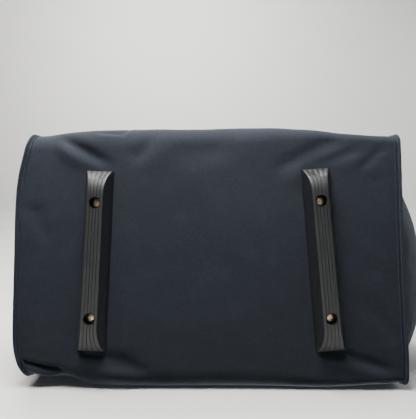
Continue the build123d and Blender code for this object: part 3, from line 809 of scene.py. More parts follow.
def round_in(half, radius, to_edge):
    """Half of a rounded rectangle's width, at that distance from its near edge."""
    rise = np.clip(radius - to_edge, 0, radius)
    return half - radius + np.sqrt(np.maximum(radius**2 - rise**2, 0))


def spaced(count, crowd=0.9):
    """From -1 to 1, closer together towards both ends."""
    return np.sin(np.linspace(-1, 1, count) * math.pi / 2 * crowd) / math.sin(math.pi / 2 * crowd)


def panel_points(side):
    z = BASE_Z + (WALL_TOP - BASE_Z) * np.linspace(0, 1, 64) ** 1.5
    w = spaced(70)[None, :]
    zz = z[:, None] * np.ones(w.shape)
    yy = round_in(HY, END_ROLL[side], zz - BASE_Z) * w
    bow = (1 - w**4) * smooth(0, 0.05, zz - BASE_Z) * (1 - smooth(0.23, 0.275, zz))
    flat = spots(side * END_X, yy + CY, zz)
    wave = ripple(flat, 0.06, 5)
    flat[..., 0] = side * (END_X + bow * (0.0010 + 0.0008 * wave))
    return slump(flat)


def make_ends():
    for name, side in SIDES:
        panel = panel_points(side)
        sew(f"end_cloth_{name}", panel, CLOTH, "shell", "cloth", "bag_cloth", f"end_panel_{name}")
        under = panel - (side * (CLOTH + FOAM_GAP), 0, 0)
        height = under[:, panel.shape[1] // 2, 2]
        layer = under[(height > BASE_Z + 8 * MM) & (height < LINING.hi.z)][:, 3:-3]
        foam = f"end_foam_{name}"
        sew(f"end_foam_sheet_{name}", layer, Box(foam).size.x, "shell", "board", "foam", foam)
        box = Box(f"piping_{name}")
        path = seam_path(side, box.mid.x, 0.7 * MM, box.hi.z)
        wobble = 1 + 0.05 * ripple(path, 0.012, 8)
        cord = circle(0.92 * box.size.x / 2, 14)
        pipe(f"piping_cord_{name}", path, cord, "shell", f"piping_{name}", scale=wobble)
        # The folded edge of the piping's own cloth, pressed flat beside the cord.
        path = seam_path(side, side * (HX - 1.6 * MM), 0.1 * MM, box.hi.z)
        pipe(f"piping_lip_{name}", path, circle(1.2 * MM, 10, 0.5), "shell")


# --- end pockets ----------------------------------------------------------------------
POCKET = Box("end_pocket_right")
HOOD = Box("right_pocket_hood")
POCKET_OUT = POCKET.hi.x - END_X
POCKET_HALF = POCKET.size.y / 2
POCKET_ROUND = 34 * MM
POCKET_ZIP = (POCKET.hi.z + HOOD.lo.z) / 2
TAPE = 0.9 * MM
COIL_LIFT, COIL_PITCH = 0.95 * MM, 1.5 * MM
# How full each pocket is packed, low down: (how far it swells, height over which it does).
PACKED = {"left": (0.0445, 0.135), "right": (0.0545, 0.085)}


def plan(y):
    """An end pocket's outline from above, as a share of its depth, for y from -1 to 1."""
    return (1 - np.abs(y) ** 5) ** (1 / 2.2)


def plan_low(y):
    """The same near its foot, where the cloth has sagged: drawn flat in front, full behind."""
    y = np.asarray(y)
    return np.where(y < 0, (1 - np.abs(y) ** 1.7) ** 1.3, (1 - np.abs(y) ** 3.5) ** 0.6)


def pocket_points(name, side):
    full, rise = PACKED[name]
    t = np.linspace(0, 1, 56) ** 1.35
    z = (POCKET.lo.z + (POCKET.hi.z - POCKET.lo.z) * t)[:, None]
    w = spaced(96, 0.94)[None, :]
    swell = full * (1 - (1 - np.clip((z - POCKET.lo.z) / rise, 0, 1)) ** 2)
    mouth = smooth(0.125, 0.183, z)
    out = swell * (1 - mouth) * plan_low(w) + POCKET_OUT * mouth * plan(w)
    y = round_in(POCKET_HALF, POCKET_ROUND, z - POCKET.lo.z) * w
    flat = spots(side * (END_X + out), y + CY, z)
    wave = ripple(flat, 0.055, 11)
    fine = ripple(flat * (1.0, 1.0, 2.2), 0.022, 12)
    near_edge = np.exp(-((1 - np.abs(w)) / 0.10) ** 2) + np.exp(-((z - POCKET.lo.z) / 0.020) ** 2)
    soft = (wave * 0.0022 + fine * 0.0011 * (0.4 + near_edge)) * np.clip(out / 0.02, 0, 1)
    flat[..., 0] += side * soft * (1 - mouth)
    return slump(flat)


def mouth_path(side, out, z, count=150):
    """Along an end pocket's mouth at a height, that far in (or out) from its face."""
    w = spaced(count, 0.97)
    x = side * (END_X + np.maximum((POCKET_OUT + out) * plan(w), 0.0004))
    return spots(x, POCKET_HALF * w + CY, z)


def teeth(name, path, body, lift, shift):
    """A zip's coil: one rounded bead for each turn, standing across the path."""
    points = resample(path, COIL_PITCH)
    up = np.array([0.0, 0.0, 1.0])
    places = []
    for p, t in zip(points, tangents(points)):
        places.append((p + t * shift * COIL_PITCH + up * lift, up, t, np.cross(up, t)))
    piece = many(name, places, *spindle(2.1 * MM, 0.62 * MM, 1.0))
    return finish(piece, body, "coil", "zip_coil")


def make_end_pockets():
    for name, side in SIDES:
        hood_body = f"{name}_hood"
        face, node = pocket_points(name, side), f"end_pocket_{name}"
        sew(f"end_pocket_cloth_{name}", face, CLOTH, "shell", "cloth", "bag_cloth", node)

        rows = u_line(POCKET_HALF, POCKET.lo.z, POCKET.hi.z, POCKET_ROUND, 40, 12, 60)
        path = slump(spots(side * (END_X + 1.0 * MM), rows[:, 0] + CY, rows[:, 1]))
        pipe(f"pocket_welt_{name}", path, circle(1.7 * MM, 10, 0.8), "shell")

        w = spaced(110, 0.95)[None, :]
        turn = np.linspace(0, math.pi / 2, 12)[:, None]
        out = POCKET_OUT * plan(w) * np.cos(turn) ** 0.55
        z = HOOD.lo.z + (HOOD.hi.z - HOOD.lo.z) * np.sin(turn) ** 0.8 * np.ones(w.shape)
        top = spots(side * (END_X + 0.3 * MM + out), POCKET_HALF * w + CY, z)
        top[..., 2] += 0.0012 * ripple(top, 0.04, 14) * np.sin(turn)
        sew(f"pocket_hood_cloth_{name}", top, CLOTH, hood_body, "cloth", "bag_cloth",
            f"{name}_pocket_hood", inside=np.array([side * END_X, CY, HOOD.lo.z - 0.02]))

        low, high = POCKET_ZIP - 1.0 * MM, POCKET_ZIP + 1.0 * MM
        for half, body, z0, z1 in (
            ("lower", "shell", POCKET.hi.z - 4 * MM, low),
            ("upper", hood_body, high, HOOD.lo.z + 3 * MM),
        ):
            band = np.stack([mouth_path(side, -1.75 * MM, z) for z in (z0, (z0 + z1) / 2, z1)])
            sew(f"pocket_{half}_tape_{name}", band, TAPE, body, "tape", "zip_tape",
                f"{name}_pocket_{half}_zip")
        edge = mouth_path(side, -1.2 * MM, POCKET_ZIP)
        teeth(f"pocket_lower_coil_{name}", edge, "shell", -COIL_LIFT, 0.0)
        teeth(f"pocket_upper_coil_{name}", edge, hood_body, COIL_LIFT, 0.5)

        out = (side, 0, 0)
        inner = mouth_path(side, 0.15 * MM, POCKET.hi.z - 3.2 * MM)[18:-18]
        stitches(f"pocket_mouth_stitches_{name}", [(inner, out)], "shell")
        upper = mouth_path(side, -0.1 * MM, HOOD.lo.z + 2.0 * MM)[18:-18]
        stitches(f"pocket_hood_stitches_{name}", [(upper, out)], hood_body)


# --- main zip and lid -----------------------------------------------------------------
ZIP_R = 8.4 * MM
ZIP_END = ZIP_LOW.hi.y


def zip_path(inset):
    """Round the left end, the front and the right end at the main zip, in from the cloth's face."""
    rows = u_line(END_X - inset, FRONT_Y + inset, ZIP_END, ZIP_R, 70, 10, 110)
    return rows[:, 0], rows[:, 1]


def make_main_zip():
    for half, body, z0, z1, lift, shift in (
        ("lower", "shell", WALL_TOP - 4 * MM, ZIP_Z - 1.2 * MM, -COIL_LIFT, 0.0),
        ("upper", "lid", ZIP_Z + 1.2 * MM, ZIP_Z + 10 * MM, COIL_LIFT, 0.5),
    ):
        x, y = zip_path(CLOTH + 0.15 * MM)
        band = np.stack([spots(x, y, z) for z in (z0, (z0 + z1) / 2, z1)])
        sew(f"main_{half}_tape", band, TAPE, body, "tape", "zip_tape", f"main_zip_{half}_tape")
        x, y = zip_path(CLOTH - 0.55 * MM)
        coil = teeth(f"main_{half}_coil", spots(x, y, ZIP_Z), body, lift, shift)
        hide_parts(f"main_zip_{half}_coil")


RIM_R = 10 * MM


def rim_path(inset, z):
    """Once round the lid, in from its edge, starting and ending at the middle of the back."""
    half_x, half_y, r = END_X - inset, HY - inset, max(RIM_R - inset, 1.5 * MM)
    points = []
    corners = ((1, 1), (1, -1), (-1, -1), (-1, 1))
    for k, (sx, sy) in enumerate(corners):
        start = math.pi / 2 - k * math.pi / 2
        for j in range(9):
            t = start - math.pi / 2 * j / 8
            points.append((sx * (half_x - r) + r * math.cos(t), sy * (half_y - r) + r * math.sin(t)))
    points = [(0.0, half_y)] + points + [(0.0, half_y)]
    dense = []
    for (x0, y0), (x1, y1) in zip(points, points[1:]):
        parts = max(1, int(math.hypot(x1 - x0, y1 - y0) / (4 * MM)))
        dense += [(x0 + (x1 - x0) * k / parts, y0 + (y1 - y0) * k / parts) for k in range(parts)]
    dense.append(points[-1])
    return np.array([(x, y + CY, z) for x, y in dense])


def make_lid():
    v = spaced(110, 0.93)
    to_edge = (1 - np.abs(v)) * HY
    half = round_in(END_X, RIM_R, to_edge)[:, None]
    u = spaced(150, 0.93)[None, :]
    x, y = half * u, HY * v[:, None] * np.ones(u.shape)
    crown = (1 - np.abs(u) ** 5) * (1 - np.abs(v[:, None]) ** 5)
    flat = spots(x, y + CY, LID.hi.z)
    wave = ripple(flat, 0.10, 21)
    fine = ripple(flat, 0.035, 22)
    seat = smooth(0, 0.018, to_edge[:, None]) * smooth(0, 0.018, (1 - np.abs(u)) * END_X)
    flat[..., 2] += crown * 0.0042 + seat * (0.0014 * wave + 0.0005 * fine)
    # A stitched channel frames the padded top.
    frame_line = np.minimum(to_edge[:, None], (1 - np.abs(u)) * END_X)
    flat[..., 2] -= 0.0022 * np.exp(-(((frame_line - 0.032) / 0.0035) ** 2))
    pad = sew("lid_top_padded", flat, LID.size.z, "lid", "pad", "bag_cloth", "lid_panel")

    heights = np.linspace(ZIP_Z + 6 * MM, LID.hi.z, 12)
    band = []
    for z in heights:
        t = (z - heights[0]) / (heights[-1] - heights[0])
        ring = rim_path(0.0, z)
        out = (ring - np.array([0, CY, z])) / (END_X, HY, 1)
        wave = ripple(ring, 0.06, 24)
        ring[:, :2] += out[:, :2] * (4 * t * (1 - t) * (0.0009 + 0.0009 * wave))[:, None]
        band.append(ring)
    sew("lid_skirt_cloth", np.array(band), CLOTH, "lid", "cloth", "bag_cloth", "lid_skirt")

    box = Box("lid_piping")
    ring = rim_path(-1.5 * MM, box.mid.z)[:-1]
    pipe("lid_piping_cord", ring, circle(box.size.z / 2, 12), "lid", "lid_piping", closed=True)

    board = Box("lid_board")
    u, v = spaced(60, 0.9)[None, :], spaced(44, 0.9)[:, None]
    x, y = board.hi.x * u * np.ones(v.shape), board.size.y / 2 * v * np.ones(u.shape)
    under = spots(x, y + CY, board.lo.z)
    wave = ripple(under, 0.07, 27)
    under[..., 2] -= (1 - u**6) * (1 - v**6) * (0.0012 + 0.0010 * wave)
    sew("lid_lining", under, board.size.z, "lid", "lining", "lining_cloth", "lid_board",
        inside=np.array([0, CY, LID.hi.z]))

    lines = [(lift_to(pad, rim_path(inset, LID.hi.z)), (0, 0, 1)) for inset in (32 * MM, 7 * MM)]
    stitches("lid_top_stitches", lines, "lid")
    ring = rim_path(0.0, ZIP_Z + 9 * MM)
    back = ring[ring[:, 1] > BACK_Y - 1 * MM]
    lines = three_sides(ring, 1 * MM) + [(back[np.argsort(back[:, 0])], (0, 1, 0))]
    stitches("lid_skirt_stitches", lines, "lid")


def lift_to(piece, path):
    """The path with each point set on top of a piece, as seen from above."""
    graph = bpy.context.evaluated_depsgraph_get()
    graph.update()
    out = path.copy()
    local = piece.evaluated_get(graph)
    for point in out:
        hit, place, _, _ = local.ray_cast(Vector((point[0], point[1], 1.0)), Vector((0, 0, -1)))
        if hit:
            point[2] = place.z
    return out


def three_sides(ring, reach):
    """A ring's front and ends as stitch lines, each with its own outward direction."""
    return [
        (ring[ring[:, 1] < FRONT_Y + 1 * MM], (0, -1, 0)),
        (ring[ring[:, 0] > END_X - reach], (1, 0, 0)),
        (ring[ring[:, 0] < reach - END_X], (-1, 0, 0)),
    ]


def make_lid_fold():
    """The cloth that carries on from the back to the lid, inside and out, across the fold."""
    xs = np.linspace(-1, 1, 120) * (END_X - RIM_R)
    wave = 0.0002 * ripple(spots(xs, 0.0, 0.0), 0.03, 31)
    for name, y, thick, low, high, look, slot_name in (
        ("lid_fold_outer", BACK_Y + 0.55 * MM, 0.5 * MM, -7 * MM, 7 * MM, "cloth", "bag_cloth"),
        ("lid_fold_inner", BACK_Y - 3 * MM, 0.8 * MM, -13 * MM, 12 * MM, "lining", "lining_cloth"),
    ):
        rows = [spots(xs, y + wave, ZIP_Z + z) for z in np.linspace(low, high, 22)]
        bend(name, rows, thick, y, look, slot_name)
    for name, side in SIDES:
        y = np.linspace(ZIP_END - 3 * MM, BACK_Y - 1.5 * MM, 12)
        rows = []
        for z in np.linspace(-7.5 * MM, 7.5 * MM, 16):
            tuck = 0.0012 * (1 - (z / (7.5 * MM)) ** 2)
            rows.append(spots(side * (END_X - CLOTH - 0.4 * MM - tuck), y, ZIP_Z + z))
        bend(f"zip_end_gusset_{name}", rows, 0.8 * MM, 0, "cloth", "bag_cloth")


def bend(name, rows, thick, y, look, slot_name):
    """A sheet between the shell and the lid, round the zip's height, with its material."""
    piece = sheet(name, np.array(rows), thick)
    piece.data.materials.append(MATERIALS[look])
    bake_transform(piece)


# --- front pocket, sleeve, straps and handles -------------------------------------------
FP_HALF = FRONT_POCKET.hi.x
FP_OUT = FRONT_Y - FRONT_POCKET.lo.y
FP_LOW, FP_TOP = FRONT_POCKET.lo.z, FRONT_POCKET.hi.z
STRAP_X = (FRONT_STRAPS.hi.x + Box("handle_wrap").hi.x) / 2 + 8.5 * MM
STRAP_W = 38 * MM
STRAP_T = 2.2 * MM


def front_out(x, z):
    """How far the front pocket's face stands out from the bag's front."""
    rise = 1 - (1 - np.clip((z - FP_LOW) / 0.105, 0, 1)) ** 2
    across = (1 - np.clip(np.abs(x) / FP_HALF, 0, 1) ** 9) ** 0.5
    return FP_OUT * rise * across


def front_points(xs, zs, extra):
    x, z = np.meshgrid(xs, zs)
    flat = spots(x, FRONT_Y - front_out(x, z), z)
    wave = ripple(flat, 0.075, 41)
    fine = ripple(flat, 0.026, 42)
    soft = (0.0013 * wave + 0.0005 * fine - 0.0013) * np.clip(front_out(x, z) / FP_OUT, 0, 1)
    soft -= 0.0010 * np.exp(-(((np.abs(x) - STRAP_X) / 0.026) ** 4))
    flat[..., 1] -= soft + extra
    return slump(flat)


def make_front_pocket():
    xs = FP_HALF * spaced(130, 0.95)
    zs = FP_LOW + (FP_TOP - FP_LOW) * np.linspace(0, 1, 70) ** 1.2
    face = front_points(xs, zs, 0.2 * MM)
    sew("front_pocket_cloth", face, CLOTH, "shell", "cloth", "bag_cloth", "front_pocket")
    hem = front_points(xs, np.linspace(FP_TOP - 14 * MM, FP_TOP + 0.6 * MM, 6), 0.75 * MM)
    sew("front_pocket_hem", hem, 2.6 * MM, "shell", "binding", "webbing")
    lines = []
    for z in (FP_TOP - 2.5 * MM, FP_TOP - 12 * MM):
        lines.append((front_points(xs[6:-6], np.array([z]), 0.95 * MM)[0], (0, -1, 0)))
    for x in (-FP_HALF + 2.4 * MM, FP_HALF - 2.4 * MM):
        zz = np.linspace(FP_LOW + 6 * MM, FP_TOP - 14 * MM, 60)
        lines.append((front_points(np.array([x]), zz, 0.5 * MM)[:, 0], (np.sign(x) * 0.6, -0.8, 0)))
    low = front_points(xs[4:-4], np.array([FP_LOW + 3 * MM]), 0.4 * MM)[0]
    lines.append((low, (0, -0.8, -0.6)))
    stitches("front_pocket_stitches", lines, "shell")
    cord = front_points(xs, np.array([FP_LOW]), 0.3 * MM)[0]
    pipe("front_pocket_welt", cord, circle(1.5 * MM, 10), "shell")


def box_cross(x, low, high, place):
    """The box of stitches with a cross in it that holds a strap's end."""
    half = STRAP_W / 2 - 4 * MM
    a, b, c, d = (x - half, low), (x + half, low), (x + half, high), (x - half, high)
    lines = []
    for p, q in ((a, b), (b, c), (c, d), (d, a), (a, c), (b, d)):
        t = np.linspace(0, 1, 16)
        lines.append(place(p[0] + (q[0] - p[0]) * t, p[1] + (q[1] - p[1]) * t))
    return lines


def make_straps():
    top = FRONT_STRAPS.hi.z
    fronts, backs, lines = [], [], []
    back_y = BACK_STRAPS.hi.y

    def on_front(x, z, above=2.55 * MM):
        y = FRONT_Y - front_out(x, np.minimum(z, FP_TOP)) - above
        return slump(spots(x, y, z)), (0, -1, 0)

    def on_back(x, z, above=0.1 * MM):
        return spots(x, back_y + above, z), (0, 1, 0)

    for side in (-1, 1):
        middle = side * STRAP_X
        across = np.linspace(-1, 1, 13)
        crown = 0.0003 * (1 - np.abs(across) ** 4)
        for place, low, count, above, pile, name in (
            (on_front, FP_LOW - 2 * MM, 70, STRAP_T + crown, fronts, "front_strap"),
            (on_back, BACK_STRAPS.lo.z, 60, crown, backs, "back_strap"),
        ):
            x, z = np.meshgrid(middle + STRAP_W / 2 * across, np.linspace(low, top, count))
            pile.append(sheet(f"{name}_{side}", place(x, z, above)[0], STRAP_T))
        for place, low in ((on_front, FP_LOW + 6 * MM), (on_back, BACK_STRAPS.lo.z + 6 * MM)):
            z = np.linspace(low, top - 34 * MM, 60)
            for edge in (-1, 1):
                lines.append(place(np.full(60, middle + edge * (STRAP_W / 2 - 3 * MM)), z))
            lines += box_cross(middle, top - 32 * MM, top - 6 * MM, place)
    finish(join("front_strap_pair", fronts), "shell", "webbing", "webbing", "front_straps")
    finish(join("back_strap_pair", backs), "shell", "webbing", "webbing", "back_straps")
    stitches("strap_stitches", lines, "shell")


def make_sleeve():
    half = SLEEVE.hi.x
    xs, zs = half * spaced(90, 0.96), np.linspace(SLEEVE.lo.z, SLEEVE.hi.z, 60)
    x, z = np.meshgrid(xs, zs)
    lift = SLEEVE.size.y * (1 - np.abs(x / half) ** 14) ** 0.5
    flat = spots(x, BACK_Y + lift, z)
    flat[..., 1] += -0.0004 + 0.0004 * ripple(flat, 0.07, 51)
    sew("trolley_sleeve_cloth", flat, CLOTH, "shell", "cloth", "bag_cloth", "back_sleeve")
    lines = []
    for z in (SLEEVE.lo.z + 9 * MM, SLEEVE.hi.z - 9 * MM):
        row = np.abs(zs - z).argmin()
        lines.append((flat[row, 6:-6] + (0, 0.1 * MM, 0), (0, 1, 0)))
    for col in (5, -6):
        lines.append((flat[2:-2, col] + (0, 0.2 * MM, 0), (0, 1, 0)))
    stitches("sleeve_stitches", lines, "shell")


def handle_points(box, face_y, inner_gap):
    """A hanging handle's outer face, from its outer edge to its inner edge."""
    reach = box.hi.x
    outer = u_line(reach, box.lo.z, box.hi.z, 46 * MM, 16, 16, 40)
    inner = u_line(reach - STRAP_W, box.lo.z + inner_gap, box.hi.z, 18 * MM, 16, 16, 40)
    t = np.linspace(0, 1, 11)[None, :, None]
    line = outer[:, None, :2] * (1 - t) + inner[:, None, :2] * t
    crown = 0.0003 * (1 - np.abs(2 * t[..., 0] - 1) ** 4) * np.sign(face_y - CY)
    return spots(line[..., 0], face_y + crown, line[..., 1])


def make_handles():
    grip_wide = 26 * MM
    for name, side in (("front", -1), ("back", 1)):
        box = Box(f"handle_{name}_loop")
        face = box.lo.y if side < 0 else box.hi.y
        flat = handle_points(box, face, grip_wide)
        sew(f"carry_handle_{name}", flat, box.size.y, f"{name}_handle", "webbing", "webbing",
            f"handle_{name}_loop", inside=np.array([0, CY, 0.2]))
        out = (0, side, 0)
        lines = []
        for col in (1, -2):
            edge = flat[4:-4, col] + (0, side * 0.1 * MM, 0)
            if name == "front":
                off = np.abs(edge[:, 0]) > Box("handle_wrap").hi.x + 2 * MM
                lines += [(edge[off & (edge[:, 0] < 0)], out), (edge[off & (edge[:, 0] > 0)], out)]
            else:
                lines.append((edge, out))
        stitches(f"handle_stitches_{name}", lines, f"{name}_handle")

    box = Box("handle_wrap")
    xs = np.linspace(box.lo.x, box.hi.x, 60)
    path = spots(xs, box.mid.y, box.mid.z)
    u = xs / box.hi.x
    swell = 0.93 + 0.07 * (1 - np.abs(u) ** 4) - 0.10 * np.exp(-(((np.abs(u) - 0.93) / 0.025) ** 2))
    ring = []
    for k in range(40):
        t = 2 * math.pi * k / 40
        a, b = math.cos(t), math.sin(t)
        deep, tall = math.copysign(abs(a) ** 0.7, a), math.copysign(abs(b) ** 0.55, b)
        ring.append((box.size.y / 2 * deep, box.size.z / 2 * tall))
    grip = sweep("handle_grip_wrap", path, ring, up=np.array([0.0, 0.0, 1.0]), scale=swell)
    finish(grip, "front_handle", "pad", "grip_cloth", "handle_wrap")
    z = np.linspace(box.mid.z - 9 * MM, box.mid.z + 4 * MM, 8)
    x, zz = np.meshgrid(np.linspace(-0.86, 0.86, 50) * box.hi.x, z)
    flap_face = box.lo.y - 0.35 * MM + 0.0002 * np.cos(x * 240)
    flap = spots(x, flap_face, zz)
    sew("grip_closing_flap", flap, 1.1 * MM, "front_handle", "binding", "webbing")
    xs = np.linspace(-0.82, 0.82, 60) * box.hi.x
    edges = []
    for z in (box.mid.z - 7.5 * MM, box.mid.z + 2.5 * MM):
        edges.append((spots(xs, box.lo.y - 0.5 * MM, z), (0, -1, 0)))
    stitches("grip_stitches", edges, "front_handle")


def make_dring_tabs():
    for name, side in SIDES:
        tab, ring = Box(f"dring_tab_{name}"), Box(f"dring_{name}")
        bar_x, bar_z = ring.mid.x, ring.hi.z - ring.size.x / 2
        near, radius = side * END_X, 3.5 * MM
        line = [(near + side * 3.4 * MM, tab.hi.z)]
        for k in range(21):
            t = math.radians(60 - 240 * k / 20)
            line.append((bar_x + side * radius * math.cos(t), bar_z + radius * math.sin(t)))
        line.append((near + side * 0.9 * MM, bar_z + 4 * MM))
        line.append((near + side * 0.9 * MM, tab.hi.z))
        ys = CY + tab.size.y / 2 * np.linspace(-1, 1, 9)
        rows = np.array([[(x, y, z) for y in ys] for x, z in line])
        sew(f"dring_loop_{name}", rows, 1.3 * MM, "shell", "webbing", "webbing",
            f"dring_tab_{name}", inside=np.array([bar_x, CY, bar_z]))
        y = np.linspace(ys[0] + 2 * MM, ys[-1] - 2 * MM, 12)
        lines = []
        for z in (tab.hi.z - 2 * MM, tab.hi.z - 7 * MM):
            lines.append((spots(near + side * 3.6 * MM, y, z), (side, 0, 0)))
        stitches(f"dring_loop_stitches_{name}", lines, "shell")


# --- skids ----------------------------------------------------------------------------
SKID_L, SKID_BASE, SKID_FOOT = 206 * MM, 33.5 * MM, 18.2 * MM
SKID_RAMP, SKID_RISE = 29 * MM, 14 * MM
SKID_GROOVES, GROOVE_SHARE, GROOVE_DEEP = 4, 0.236, 0.75 * MM
RECESS_R, RECESS_DEEP, HEAD_R = 6.6 * MM, 10 * MM, 5.2 * MM


def skid_section(z, tall):
    """Across a skid where its foot is at height z: side, edge, ribbed foot, edge, side."""
    foot = SKID_FOOT + (SKID_BASE - SKID_FOOT) * z / tall
    half, edge = foot / 2, 0.9 * MM
    points = [(-SKID_BASE / 2, tall), (-SKID_BASE / 2 + 0.02 * MM, tall - 0.4 * MM)]
    points += [(-half - (SKID_BASE / 2 - half) * 0.5, z + (tall - z) * 0.5)]
    for k in range(4):
        t = math.pi / 2 * k / 3
        points.append((-half + edge * (1 - math.cos(t)) - 0.1 * MM, z + edge * (1 - math.sin(t))))
    flat = half - edge - 0.6 * MM
    for g in range(SKID_GROOVES):
        middle = flat * GROOVE_SHARE * (2 * g - SKID_GROOVES + 1)
        wide = 0.36 * MM
        for share, deep in ((-1.4, 0), (-1.0, 0.15), (-0.6, 1), (0.6, 1), (1.0, 0.15), (1.4, 0)):
            points.append((middle + share * wide, z + deep * GROOVE_DEEP))
    return points + [(-x, h) for x, h in points[6::-1]]


def make_skids():
    screw_heads = []
    tall = BASE_Z
    radius = (SKID_RAMP**2 + SKID_RISE**2) / (2 * SKID_RISE)
    flat = SKID_L / 2 - SKID_RAMP
    level = np.linspace(-flat, flat, 50)
    ramp = flat + SKID_RAMP * np.sin(np.linspace(0, 1, 17)[1:] * math.pi / 2)
    ys = np.concatenate([-ramp[::-1], level, ramp])
    for name in ("left", "right"):
        verts = []
        for y in ys:
            past = max(0.0, abs(y) - flat)
            z = radius - math.sqrt(radius**2 - past**2)
            verts += [(x, y, min(h, tall)) for x, h in skid_section(min(z, tall - 0.5 * MM), tall)]
        cols = len(verts) // len(ys)
        faces = grid_faces(len(ys), cols, close_cols=True) + cap_faces(len(ys), cols)
        skid = new_mesh(f"skid_moulding_{name}", verts, faces)
        recalc(skid)
        node = Box(f"skid_{name}")
        screws = np.array([v.co for v in NODES["skid_screws"].data.vertices])
        screws = screws[np.sign(screws[:, 0]) == np.sign(node.mid.x)]
        lows = [screws[screws[:, 1] < node.mid.y], screws[screws[:, 1] > node.mid.y]]
        heads = [(a.min(0) + a.max(0)) / 2 for a in lows]
        along = heads[1] - heads[0]
        turn = math.atan2(-along[0], along[1])
        middle = (heads[0] + heads[1]) / 2
        spot = Matrix.Translation((middle[0], middle[1], 0)) @ Matrix.Rotation(turn, 4, "Z")
        skid.data.transform(spot)
        for head in heads:
            bpy.ops.mesh.primitive_cylinder_add(
                vertices=48, radius=RECESS_R, depth=2 * RECESS_DEEP, location=(head[0], head[1], 0)
            )
            carve(skid, bpy.context.object)
        skid.data.set_sharp_from_angle(angle=math.radians(32))
        finish(skid, "shell", "skid", "skid_plastic", f"skid_{name}")
        # The foot and the ramps keep the lighter, ground-greyed plastic; the sides and the recesses get
        # a much darker copy, partly unworn black plastic and partly painted shade on the side walls.
        skid.data.materials.append(MATERIALS["skid_side"])
        for face in skid.data.polygons:
            face.material_index = int(abs(face.normal.z) < 0.45)
        for head in heads:
            screw_heads.append(screw_head(head, 23 + 61 * len(screw_heads)))
    screws = join("screw_heads", screw_heads)
    finish(screws, "shell", "brass", "screw_brass", "skid_screws")


def screw_head(place, turn):
    """A pan head seen from below, with its cross recess, and its shank up to the nut."""
    box = Box("skid_screws")
    low, shank = RECESS_DEEP - 2.8 * MM, 2.4 * MM
    dome = ((1.6, 0.03), (3.2, 0.25), (4.4, 0.75))
    line = [(r * MM, low + rise * MM) for r, rise in dome]
    line += [(HEAD_R, low + 1.6 * MM), (HEAD_R, RECESS_DEEP), (shank, RECESS_DEEP), (shank, box.hi.z)]
    turns = np.linspace(0, 2 * math.pi, 33)[:-1]
    verts = [(r * math.cos(t), r * math.sin(t), z) for r, z in line for t in turns]
    faces = grid_faces(len(line), 32, close_cols=True) + cap_faces(len(line), 32)
    head = new_mesh("screw_head", verts, faces)
    recalc(head)
    for angle in (turn, turn + 90):
        turned = (0, 0, math.radians(angle))
        bpy.ops.mesh.primitive_cube_add(size=1, location=(0, 0, low), rotation=turned)
        cutter = bpy.context.object
        cutter.scale = (6.4 * MM, 1.35 * MM, 3.6 * MM)
        carve(head, cutter)
    head.data.transform(Matrix.Translation((place[0], place[1], 0)))
    head.data.set_sharp_from_angle(angle=math.radians(35))
    return head


# --- inside ---------------------------------------------------------------------------
def make_lining_box():
    """The CAD lining in small facets, slumped with the cloth round it and slightly creased."""
    mesh = NODES["lining"].data.copy()
    mesh.materials.clear()
    piece = bpy.data.objects.new("lining_box", mesh)
    bpy.context.scene.collection.objects.link(piece)
    bm = bmesh.new()
    bm.from_mesh(mesh)
    bmesh.ops.remove_doubles(bm, verts=bm.verts, dist=1e-6)
    for _ in range(5):
        long_edges = [e for e in bm.edges if e.calc_length() > 14 * MM]
        if not long_edges:
            break
        bmesh.ops.subdivide_edges(bm, edges=long_edges, cuts=1)
        bmesh.ops.triangulate(bm, faces=[f for f in bm.faces if len(f.verts) > 4])
    bm.to_mesh(mesh)
    bm.free()
    points = slump(np.array([v.co for v in mesh.vertices]))
    points[:, 2] = np.maximum(points[:, 2], LINING.lo.z + 2.5 * MM)
    points[:, :2] -= (points[:, :2] - (0, CY)) * np.abs(ripple(points, 0.05, 61))[:, None] * 0.006
    mesh.vertices.foreach_set("co", points.astype(np.float32).ravel())
    mesh.update()
    finish(piece, "shell", "lining_cad", "lining_cloth", "lining")


def pillow(name, box, thin, pinch=0.35):
    """A closed, crowned pad that fills a box; thin is the axis of its thickness."""
    wide = [k for k in range(3) if k != thin]
    u, v = spaced(50, 0.92)[None, :], spaced(50, 0.92)[:, None]
    crown = ((1 - np.abs(u) ** 8) * (1 - np.abs(v) ** 8)) ** pinch
    half = np.array(box.size) / 2
    layers = []
    for sign in (-1, 1):
        points = np.zeros(crown.shape + (3,))
        points[..., wide[0]] = box.mid[wide[0]] + half[wide[0]] * u
        points[..., wide[1]] = box.mid[wide[1]] + half[wide[1]] * v
        points[..., thin] = box.mid[thin] + sign * half[thin] * crown
        layers.append(points)
    flat = np.concatenate([layer.reshape(-1, 3) for layer in layers])
    count = crown.size
    faces = grid_faces(50, 50)
    faces += [tuple(count + k for k in reversed(f)) for f in grid_faces(50, 50)]
    uvs = flat[:, wide]
    piece = new_mesh(name, flat, faces, uvs)
    recalc(piece, weld=True)
    return piece


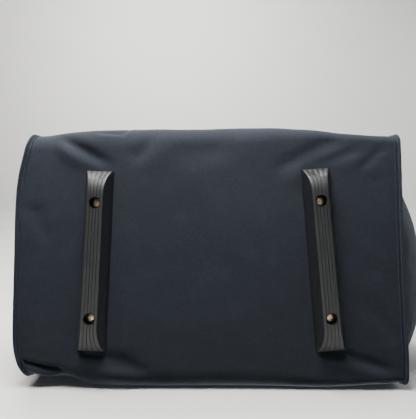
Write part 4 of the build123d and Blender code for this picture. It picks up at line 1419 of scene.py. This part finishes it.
def make_inside():
    make_lining_box()
    for side in ("left", "right"):
        pad = pillow(f"divider_pad_{side}", Box(f"divider_{side}"), 0)
        finish(pad, "shell", "lining", "lining_cloth", f"divider_{side}")
    pad = pillow("floor_pad_cushion", Box("floor_pad"), 2)
    finish(pad, "shell", "lining", "lining_cloth", "floor_pad")
    # The lining's top edge, turned out over the foam and sewn to the zip tape.
    inner = u_line(END_X - 8.4 * MM, FRONT_Y + 7.4 * MM, ZIP_END, ZIP_R, 70, 10, 110)
    x, y = zip_path(CLOTH + 1.2 * MM)
    low = spots(inner[:, 0], inner[:, 1], LINING.hi.z - 3 * MM)
    lining_edge("lining_top_edge", low, spots(x, y, WALL_TOP - 1 * MM))
    xs = np.linspace(-1, 1, 80) * (END_X - 8 * MM)
    low = spots(xs, BACK_Y - 7.4 * MM, LINING.hi.z - 3 * MM)
    lining_edge("lining_back_edge", low, spots(xs, BACK_Y - 2.4 * MM, WALL_TOP - 3 * MM))


def lining_edge(name, low, high):
    """A band of lining between two matching paths, facing down and out."""
    t = np.linspace(0, 1, 5)[:, None, None]
    sew(name, low * (1 - t) + high * t, 0.8 * MM, "shell", "lining", "lining_cloth",
        inside=np.array([0, CY, 0.6]))


def dress_cad_nodes():
    """The CAD nodes that show as they are, or lie hidden inside, get their own finishes."""
    looks = {"skid_washers": "steel", "skid_nuts": "steel", "nut_strips": "steel"}
    for node, piece in NODES.items():
        look = looks.get(node)
        if node.endswith(("_slider", "_pull")):
            look = "enamel"
        elif node in ("dring_left", "dring_right"):
            look = "nickel"
        if look:
            piece.data.materials.clear()
            piece.data.materials.append(MATERIALS[look])


def wall_stitches():
    """A row of stitches below the main zip."""
    x, y = zip_path(-0.05 * MM)
    ring = spots(x, y, WALL_TOP - 3.5 * MM)
    stitches("wall_top_stitches", three_sides(ring, 0.5 * MM), "shell")


make_camera()
make_lights()
make_stage()
make_wrap()
make_ends()
make_end_pockets()
make_main_zip()
make_lid()
make_lid_fold()
make_front_pocket()
make_sleeve()
make_straps()
make_handles()
make_dring_tabs()
make_skids()
make_inside()
wall_stitches()
dress_cad_nodes()
